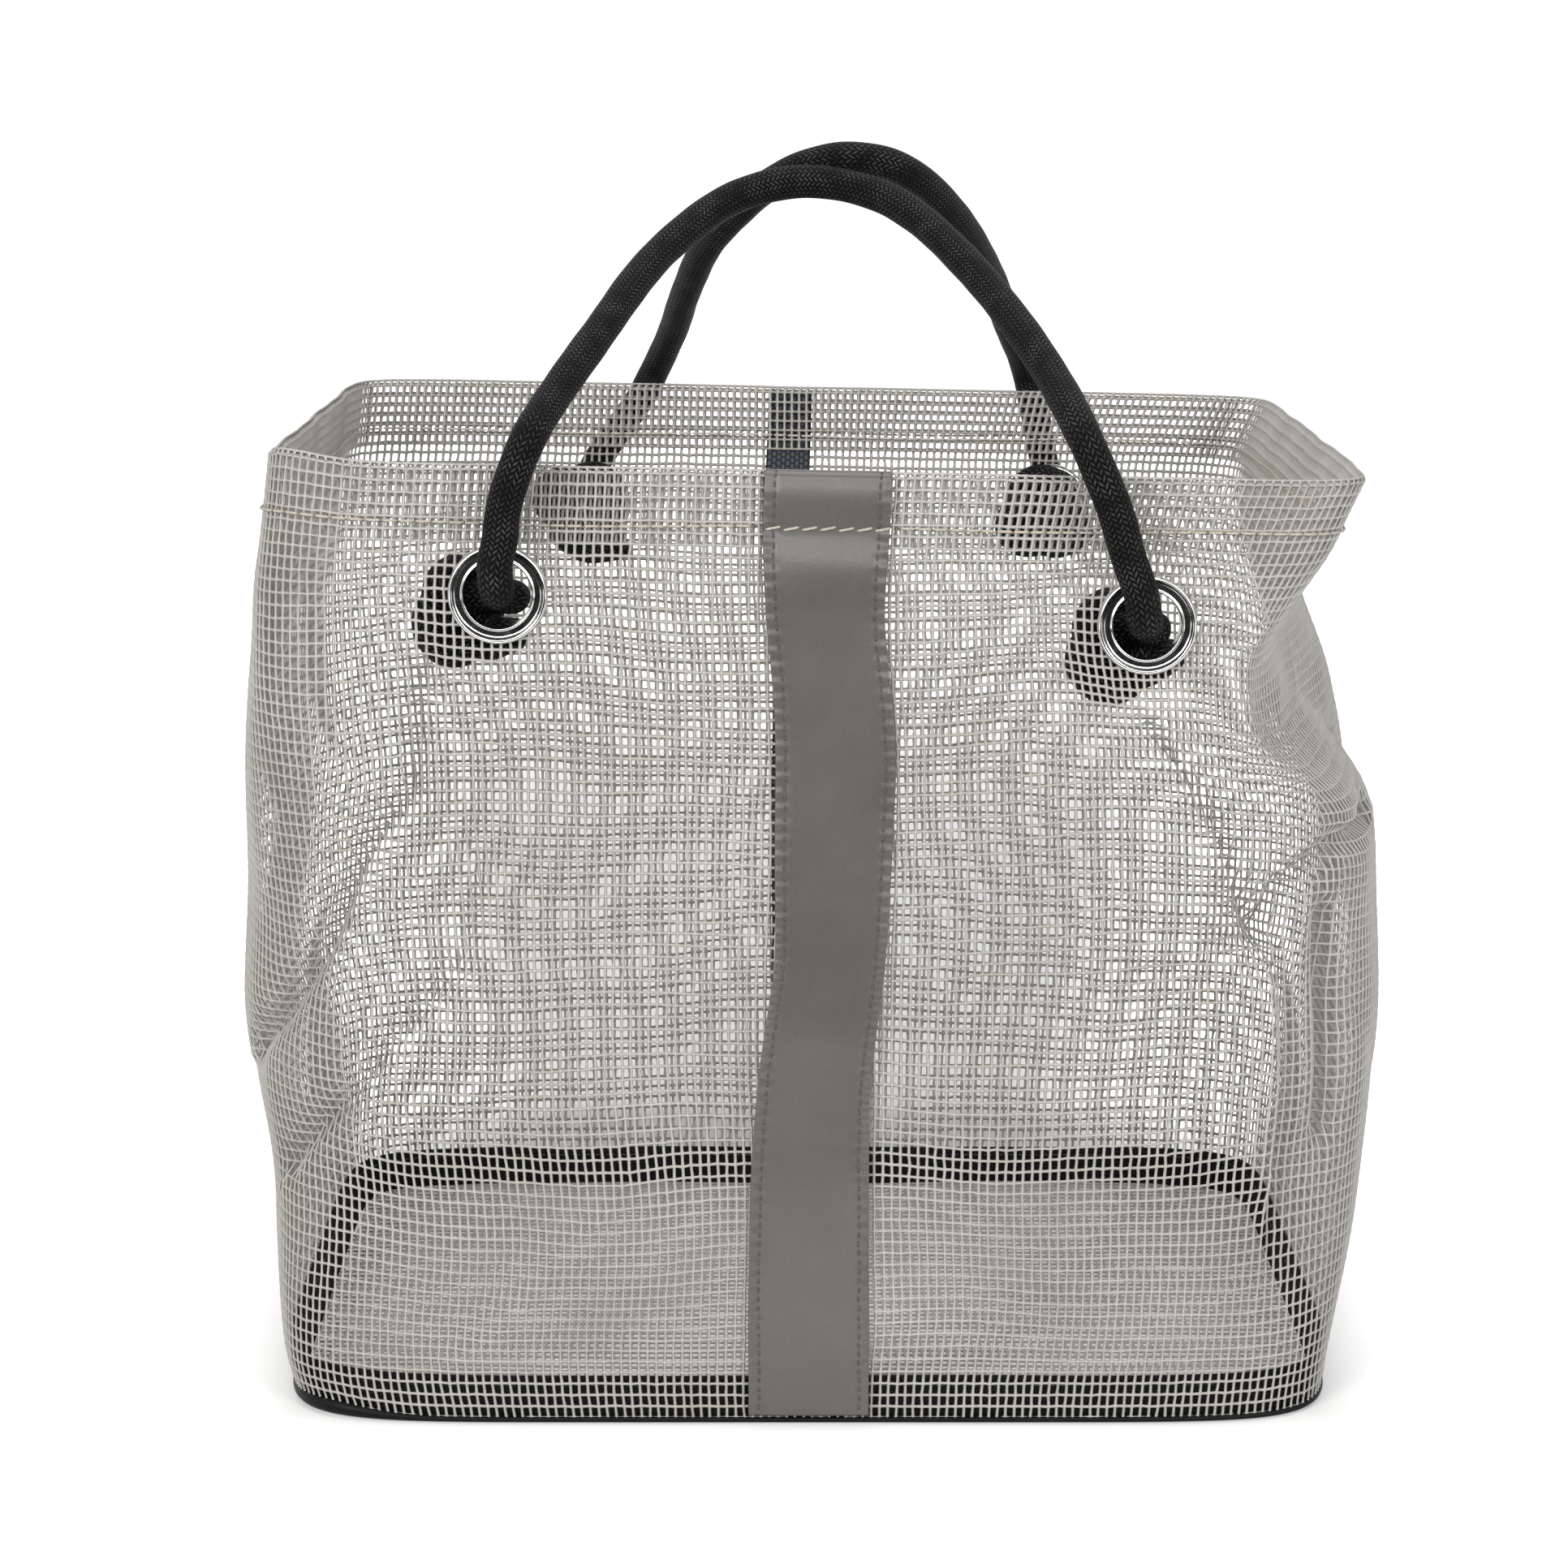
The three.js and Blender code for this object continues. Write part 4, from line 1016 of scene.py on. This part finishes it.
strap_t = np.concatenate([np.arange(STRAP_FOOT, STRAP_TOP, 0.6), STRAP_TOP + np.linspace(0, STRAP_ARC, 22),
                          STRAP_TOP + STRAP_ARC + np.linspace(0.8, 15.4, 20)])
even = np.linspace(-1, 1, 45)
strap_s = np.sin(even * math.pi / 2) * 0.35 + even * 0.65
grid_t, grid_s = np.meshgrid(strap_t, strap_s, indexing="ij")
points, faces = flat_sleeve(strap_surface(grid_t, grid_s), strap_surface(grid_t, grid_s * 0.995, STRAP_THICK), -1)
pack_s = np.concatenate([strap_s, 2.1 - strap_s[::-1]])
pack = np.stack(np.broadcast_arrays(pack_s, strap_t[:, None]), -1)
pack = (pack - pack.min((0, 1))) / np.ptp(pack, axis=(0, 1)) * 0.96 + 0.02
piece = add_mesh("strap", points, faces[:, ::-1], "strap", {"OFBake": pack.reshape(-1, 2)})
finish_piece(piece, "strap", "front_strap")

# Stitches along the strap's edges
length, pitch = 1.6, 2.3
for side_name, edge in (("left", -1), ("right", 1)):
    paths = []
    t = 4.0
    while t < HEIGHT + 3:
        share = edge * STITCH_SHARE + 0.012 * rng.uniform(-1, 1)
        line = strap_surface(np.linspace(t, t + length, 7), share)
        _, normal = front_frame(line[:, 0], np.minimum(line[:, 2], HEIGHT))
        sink = 0.1 - 0.3 * np.abs(np.linspace(-1, 1, 7)) ** 3
        paths.append(line + normal * sink[:, None])
        t += pitch
    piece = many_tubes(f"strap_stitches_{side_name}", paths, 0.27, "dark_thread")
    finish_piece(piece, "dark_thread", f"strap_thread_{side_name}")

# Thread of the hem's seam: stitches outside and inside, and longer slanted ones over the strap
paths = []
centre, width = strap_line(SEAM_HEIGHT)
strap_left, strap_right = centre - width / 2, centre + width / 2
length, pitch = 1.72, 1.84
u = 0.0
while u < COLUMNS - 1.5:
    for offset, start, level in ((0.14, u, SEAM_HEIGHT), (-2.85, u + 0.9, SEAM_HEIGHT - 0.7)):
        if offset > 0 and strap_left / COLUMN_PITCH - 1.6 < start - FRONT_MIDDLE < strap_right / COLUMN_PITCH:
            continue
        t = np.linspace(start, start + length, 8)
        arch = 0.22 * (1 - np.linspace(-1, 1, 8) ** 4)
        drift = 0.3 * math.sin(start * 0.13) + 0.2 * math.sin(start * 0.041 + 1)
        line, out = (wall(t, [level + drift], o)[0] for o in (0.0, 1.0))
        paths.append(line + unit(out - line) * (offset + np.sign(offset) * arch)[:, None])
    u += pitch
x = strap_left + 0.4
length, pitch = 3.7, 4.1
steps = np.linspace(0, 1, 9)
while x < strap_right - 0.5:
    share = (x + steps * length - centre) / (width / 2)
    level = SEAM_HEIGHT + 0.8 * (steps - 0.5) + 0.15 * rng.uniform(-1, 1)
    line = strap_surface(level, np.clip(share, -0.99, 0.99))
    lift = 0.22 - 0.45 * np.abs(2 * steps - 1) ** 4
    paths.append(line + np.outer(lift, (0, -1, 0)))
    x += pitch
piece = many_tubes("hem_stitches", paths, 0.32, "thread")
finish_piece(piece, "thread", "hem_thread")


# Eyelets and washers
RING_SIDES = 96


def turned(name, profile, spot):
    """A metal ring turned about the normal at a spot, from a closed profile of radius and height."""
    profile = np.asarray(profile[::-1], float)
    axis = spot["normal"]
    side = unit(np.cross((0.0, 0.0, 1.0), axis))
    up = np.cross(axis, side)
    angle = np.linspace(0, 2 * math.pi, RING_SIDES, endpoint=False)
    direction = np.outer(np.cos(angle), side) + np.outer(np.sin(angle), up)
    points = spot["point"] + direction[:, None] * profile[:, :1] + axis * profile[:, 1:]
    faces = ring_faces(np.arange(RING_SIDES * len(profile)).reshape(RING_SIDES, -1).T)
    across = lengths_along(np.append(profile, profile[:1], 0))
    a, b = face_corners(len(profile), RING_SIDES)
    pack = np.stack([b / RING_SIDES, across[a] / across[-1]], -1).reshape(-1, 2) * 0.98 + 0.01
    return add_mesh(name, points.reshape(-1, 3), faces, "chrome", {"OFBake": pack})


def arc(centre, radii, start, end, count):
    angle = np.radians(np.linspace(start, end, count))
    return [(centre[0] + radii[0] * math.cos(a), centre[1] + radii[1] * math.sin(a)) for a in angle]


# The flange rises in a thin roll at the bore, is dished, and rolls over a crest to its outer edge.
FACE = spline([(BORE + out, height, 0) for out, height in (
    (0, 0.4), (0, 1.0), (0.1, 1.26), (0.28, 1.34), (0.46, 1.22), (0.7, 1.06), (1.3, 1.06), (1.95, 1.12),
    (2.3, 1.34), (2.6, 1.66), (2.9, 1.74), (3.22, 1.56), (3.5, 1.05), (3.6, 0.55), (3.5, 0.2),
)], 0.11)
EYELET = ([(BORE, -2.9)] + [(r, h) for r, h, _ in FACE] + [(BORE + 0.75, 0.1), (BORE + 0.72, -2.2)]
          + arc((BORE + 1.0, -2.75), (0.85, 0.5), 40, -180, 9))
WASHER = [(BORE + 1.0, -1.3), (BORE + 1.0, -1.95)] + arc((FLANGE - 0.4, -1.7), (0.4, 0.38), -90, 90, 7)
for side_name, handle in HANDLES.items():
    for end in ("left", "right"):
        for kind, profile in (("eyelet", EYELET), ("washer", WASHER)):
            piece = turned(f"{kind}_ring_{side_name}_{end}", profile, handle[end])
            finish_piece(piece, "chrome", f"{kind}_{side_name}_{end}")


# Ropes
ROPE_SIDES = 40


def knot_path(spot, shift, tail_degrees, lean):
    """From the tail's end through an open overhand knot to the bore, in order."""
    point, normal = spot["point"], spot["normal"]
    centre = point - normal * KNOT_DEPTH + np.array([shift[0], 0, shift[1]])
    up = unit(np.cross(normal, (1.0, 0.0, 0.0)))
    up = up * np.sign(up[2])
    level = np.cross(up, normal)
    level = level * np.sign(level[0])
    u = np.linspace(math.pi / 3 + 0.42, 4 * math.pi - 0.25, 26)[:, None]
    turn = u + math.atan2(-shift[1], -shift[0]) - math.pi / 3
    radius = KNOT_LOOP * 0.5 * (2 + np.cos(1.5 * u))
    height = KNOT_LOOP * 0.5 * np.sin(1.5 * u)
    knot = centre + level * radius * np.cos(turn) + up * radius * np.sin(turn) + normal * height
    tail = math.radians(tail_degrees)
    away = level * math.cos(tail) + up * math.sin(tail)
    last, run = knot[-1], unit(knot[-1] - knot[-2])
    loose = [last + run * 4.0 + away * 1.0, last + run * 6.5 + away * 5.0, last + run * 7.5 + away * 9.5]
    entry = [point - normal * 1.0, point - normal * 4.4 + level * lean[0] + up * lean[1]]
    return np.concatenate([entry, knot, loose])[::-1]


def rope_path(handle):
    """The rope's middle line from end to end, and the points that the handle swings about."""
    side = handle["side"]
    up = np.array([0.0, 0.0, 1.0])
    knots, bends, pivots = [], [], []
    for end in ("left", "right"):
        point, normal = handle[end]["point"], handle[end]["normal"]
        pivot = point + normal * PIVOT_REACH
        aside = np.array([-2.1 if side < 0 and end == "right" else 0.0, 0.0, 0.0])
        knots.append(knot_path(handle[end], *handle["knots"][end]))
        bends.append([point + normal * 1.9 + up * 0.7 + aside * 0.3, point + normal * 4.9 + up * 2.9 + aside * 0.6,
                      pivot + up * 7.4 + aside])
        pivots.append(pivot)
    # Above the rim the rope leans in until it meets the other one.
    fold = HEIGHT + 2.0
    top = side * (ROPE_RADIUS + 0.3)
    soft = 0.16
    route = []
    for across, rise in handle["route"]:
        low = pivots[0] + (pivots[1] - pivots[0]) * (across + 1) / 2
        lean = max(rise, 0.0)
        lean = (lean**2 / (2 * soft) if lean < soft else lean - soft / 2) / (1 - soft / 2)
        z = fold + rise * (fold - low[2] if rise < 0 else handle["arch"])
        route.append((low[0], low[1] + (top - low[1]) * lean, z))
    return spline(np.concatenate([knots[0], bends[0], route, bends[1][::-1], knots[1][::-1]]), 0.9), pivots


def rope_pieces(side_name, handle):
    """The rope in three meshes, which meet behind the bores, and the points that the handle swings about."""
    path, pivots = rope_path(handle)
    middle = len(path) // 2
    cuts = []
    for end, first, last in (("left", 0, middle), ("right", middle, len(path))):
        spot = handle[end]
        away = np.linalg.norm(path[first:last] - (spot["point"] - spot["normal"] * 1.2), axis=1)
        cuts.append(first + int(away.argmin()))
    lengths = lengths_along(path)
    print(side_name, "rope", round(float(lengths[-1]), 1), "mm, of which the handle",
          round(float(lengths[cuts[1]] - lengths[cuts[0]]), 1))
    # The rope is thinner where the knots and the bends squeeze it.
    radius = np.full(len(path), ROPE_RADIUS)
    for cut, direction in zip(cuts, (-1, 1)):
        radius -= (ROPE_RADIUS - KNOT_RADIUS) * ease(((lengths - lengths[cut]) * direction + 3) / 8)
    radius *= 1 + 0.012 * np.sin(lengths * 0.21) + 0.008 * np.sin(lengths * 0.53 + 1)
    points = tube_points(path, radius, ROPE_SIDES)
    pieces = {}
    for part, first, last in (("left", 0, cuts[0]), ("handle", *cuts), ("right", cuts[1], len(path) - 1)):
        rings = points[first:last + 1]
        maps = tube_maps(ROPE_SIDES, lengths[first:last + 1], 2 * math.pi * ROPE_RADIUS, 8 if part == "handle" else 4)
        name = f"{side_name}_rope" if part == "handle" else f"rope_knot_{side_name}_{part}"
        pieces[part] = add_mesh(name, rings.reshape(-1, 3), tube_faces(len(rings), ROPE_SIDES), "rope", maps)
    close_end(pieces["left"], path[0], unit(path[0] - path[1]))
    close_end(pieces["right"], path[-1], unit(path[-1] - path[-2]))
    return pieces, pivots


def close_end(piece, middle, outward):
    """Rounds off a rope's cut end in the same mesh."""
    bm = bmesh.new()
    bm.from_mesh(piece.data)
    centre, outward = Vector(middle / 1000), Vector(outward)
    rim = {v for v in bm.verts if v.is_boundary and (v.co - centre).length < 0.005}
    current = [e for e in bm.edges if e.is_boundary and rim.issuperset(e.verts)]
    for shrink, rise in ((0.86, 0.7), (0.5, 1.0), (0.12, 1.05)):
        made = bmesh.ops.extrude_edge_only(bm, edges=current)["geom"]
        verts = [g for g in made if isinstance(g, bmesh.types.BMVert)]
        current = [g for g in made if isinstance(g, bmesh.types.BMEdge) and all(v in verts for v in g.verts)]
        for v in verts:
            spoke = v.co - centre
            spoke -= outward * spoke.dot(outward)
            v.co = centre + spoke.normalized() * (ROPE_RADIUS * 0.86 / 1000) * shrink + outward * rise / 1000
    bmesh.ops.contextual_create(bm, geom=current)
    bmesh.ops.recalc_face_normals(bm, faces=bm.faces)
    for face in bm.faces:
        face.smooth = True
    bm.to_mesh(piece.data)
    bm.free()
    piece.data.update()


for side_name, handle in HANDLES.items():
    pieces, pivots = rope_pieces(side_name, handle)
    body = f"{side_name}_handle"
    for part, piece in pieces.items():
        if part == "handle":
            axis = unit(pivots[1] - pivots[0])
            out = np.array([0.0, 0.574 * handle["side"], 0.819])
            out = unit(out - axis * (out @ axis))
            start, end = (pivots[0] + out * 1.5) / 1000, (pivots[0] + out * 9.5) / 1000
            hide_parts(body)
            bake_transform(piece)
        else:
            finish_piece(piece, "rope", f"rope_end_{side_name}_{part}")


# Floor, world and lights


def background_rays(tree):
    """1 for rays that show the background: those of the camera, and those in metal or glass."""
    rays = tree.nodes.new("ShaderNodeLightPath")
    total = rays.outputs["Is Camera Ray"]
    for kind in ("Is Glossy Ray", "Is Transmission Ray"):
        node = tree.nodes.new("ShaderNodeMath")
        node.operation = "MAXIMUM"
        tree.links.new(total, node.inputs[0])
        tree.links.new(rays.outputs[kind], node.inputs[1])
        total = node.outputs[0]
    return total


def stage_sheet(name, corners, material):
    mesh = bpy.data.meshes.new(name)
    mesh.from_pydata(corners, [], [(0, 1, 2, 3)])
    mesh.materials.append(material)
    sheet = add_object(name, mesh)
    return sheet


def floor_material():
    """White paper. The lamps light it around the caddy, and it glows for the camera further out, but less in a painted
    shadow behind the caddy.
    """
    sh = Shader("floor_paper", Roughness=0.95, Specular_IOR_Level=0.05)
    x, y = sh.split(sh.position())[:2]
    away = []
    for value, half in ((x, 120.0), (y, 85.0)):
        beyond = sh.math("MAXIMUM", sh.math("SUBTRACT", sh.math("ABSOLUTE", value), half), 0.0)
        away.append(sh.math("POWER", beyond, 2.0))
    grain = sh.noise(sh.position(), 1.5)
    sh.set("Base Color", sh.ramp(grain, (0.3, (0.79, 0.79, 0.785)), (0.7, (0.82, 0.82, 0.815))))
    glow = sh.span(sh.math("SQRT", sh.plus(*away)), 0.0, 60.0, 0.2, 1.0)
    # Painted shadow: behind the caddy, in a wedge that widens from the camera's place, the glow is taken away, so the
    # paper there shows greyer, at its tone as lit.
    half = sh.times(sh.plus(y, -1000 * CAMERA[1]), 0.148)
    inside = sh.math("SUBTRACT", half, sh.math("ABSOLUTE", sh.plus(x, -1000 * CAMERA[0])))
    behind = sh.times(sh.span(inside, -8.0, 75.0, 0.0, 1.0), sh.span(y, 70.0, 130.0, 0.0, 1.0),
                      sh.span(y, 450.0, 1250.0, 1.0, 0.0))
    glow = sh.math("MAXIMUM", sh.math("SUBTRACT", glow, sh.times(behind, 0.82)), 0.0)
    sh.set("Emission Color", (1.0, 1.0, 1.0, 1.0))
    sh.set("Emission Strength", sh.times(glow, background_rays(sh.tree)))
    return sh.material


FLOOR, FLOOR_TOP = 8.0, -0.0004
stage_sheet("floor", [(x * FLOOR, y * FLOOR, FLOOR_TOP) for x, y in ((-1, -1), (1, -1), (1, 1), (-1, 1))],
            floor_material())

# Black cards in front, which only the polished metal shows
card = Shader("card", Roughness=0.9, Specular_IOR_Level=0.1)
grain = card.noise(card.position(), 90.0)
card.set("Base Color", card.ramp(grain, (0.3, (0.012, 0.012, 0.012)), (0.7, (0.02, 0.02, 0.02))))
for name, corners in (
    ("card_low", [(-0.8, -1.4, 0.002), (0.8, -1.4, 0.002), (0.8, -0.3, 0.002), (-0.8, -0.3, 0.002)]),
    ("card_tall", [(-0.9, -1.4, 0.0), (0.9, -1.4, 0.0), (0.9, -1.4, 0.42), (-0.9, -1.4, 0.42)]),
):
    sheet = stage_sheet(name, corners, card.material)
    sheet.visible_camera = False
    sheet.visible_diffuse = False
    sheet.visible_shadow = False
    sheet.visible_transmission = False


def light(name, place, aim, size, power, colour=(1.0, 1.0, 1.0)):
    data = bpy.data.lights.new(name, "AREA")
    data.shape = "RECTANGLE"
    data.size, data.size_y = size
    data.energy = power
    data.color = colour
    lamp = add_object(name, data)
    lamp.location = place
    lamp.rotation_euler = (Vector(aim) - Vector(place)).to_track_quat("-Z", "Y").to_euler()


light("key", (-1.0, -1.25, 0.8), (0, 0, 0.12), (0.7, 0.7), 15.5, (1.0, 0.99, 0.975))
light("fill", (1.05, -1.2, 0.75), (0, 0, 0.12), (0.7, 0.7), 11.0, (0.98, 0.99, 1.0))
light("strip", (0.0, -1.5, 0.74), (0, 0, 0.16), (1.1, 0.14), 6.5)
light("top", (0.0, 0.15, 1.6), (0, 0, 0.1), (1.3, 1.1), 11.0)

world = bpy.data.worlds.new("studio")
bpy.context.scene.world = world
world.use_nodes = True
tree = world.node_tree
tree.nodes.clear()
choose = tree.nodes.new("ShaderNodeMixShader")
for slot, strength in ((1, 0.15), (2, 1.0)):  # what lights the scene, and what its background shows
    glow = tree.nodes.new("ShaderNodeBackground")
    glow.inputs["Color"].default_value = (1.0, 1.0, 1.0, 1.0)
    glow.inputs["Strength"].default_value = strength
    tree.links.new(glow.outputs[0], choose.inputs[slot])
tree.links.new(background_rays(tree), choose.inputs["Fac"])
output = tree.nodes.new("ShaderNodeOutputWorld")
tree.links.new(choose.outputs[0], output.inputs["Surface"])

bpy.context.scene.view_settings.view_transform = "Standard"
bpy.context.scene.view_settings.look = "None"
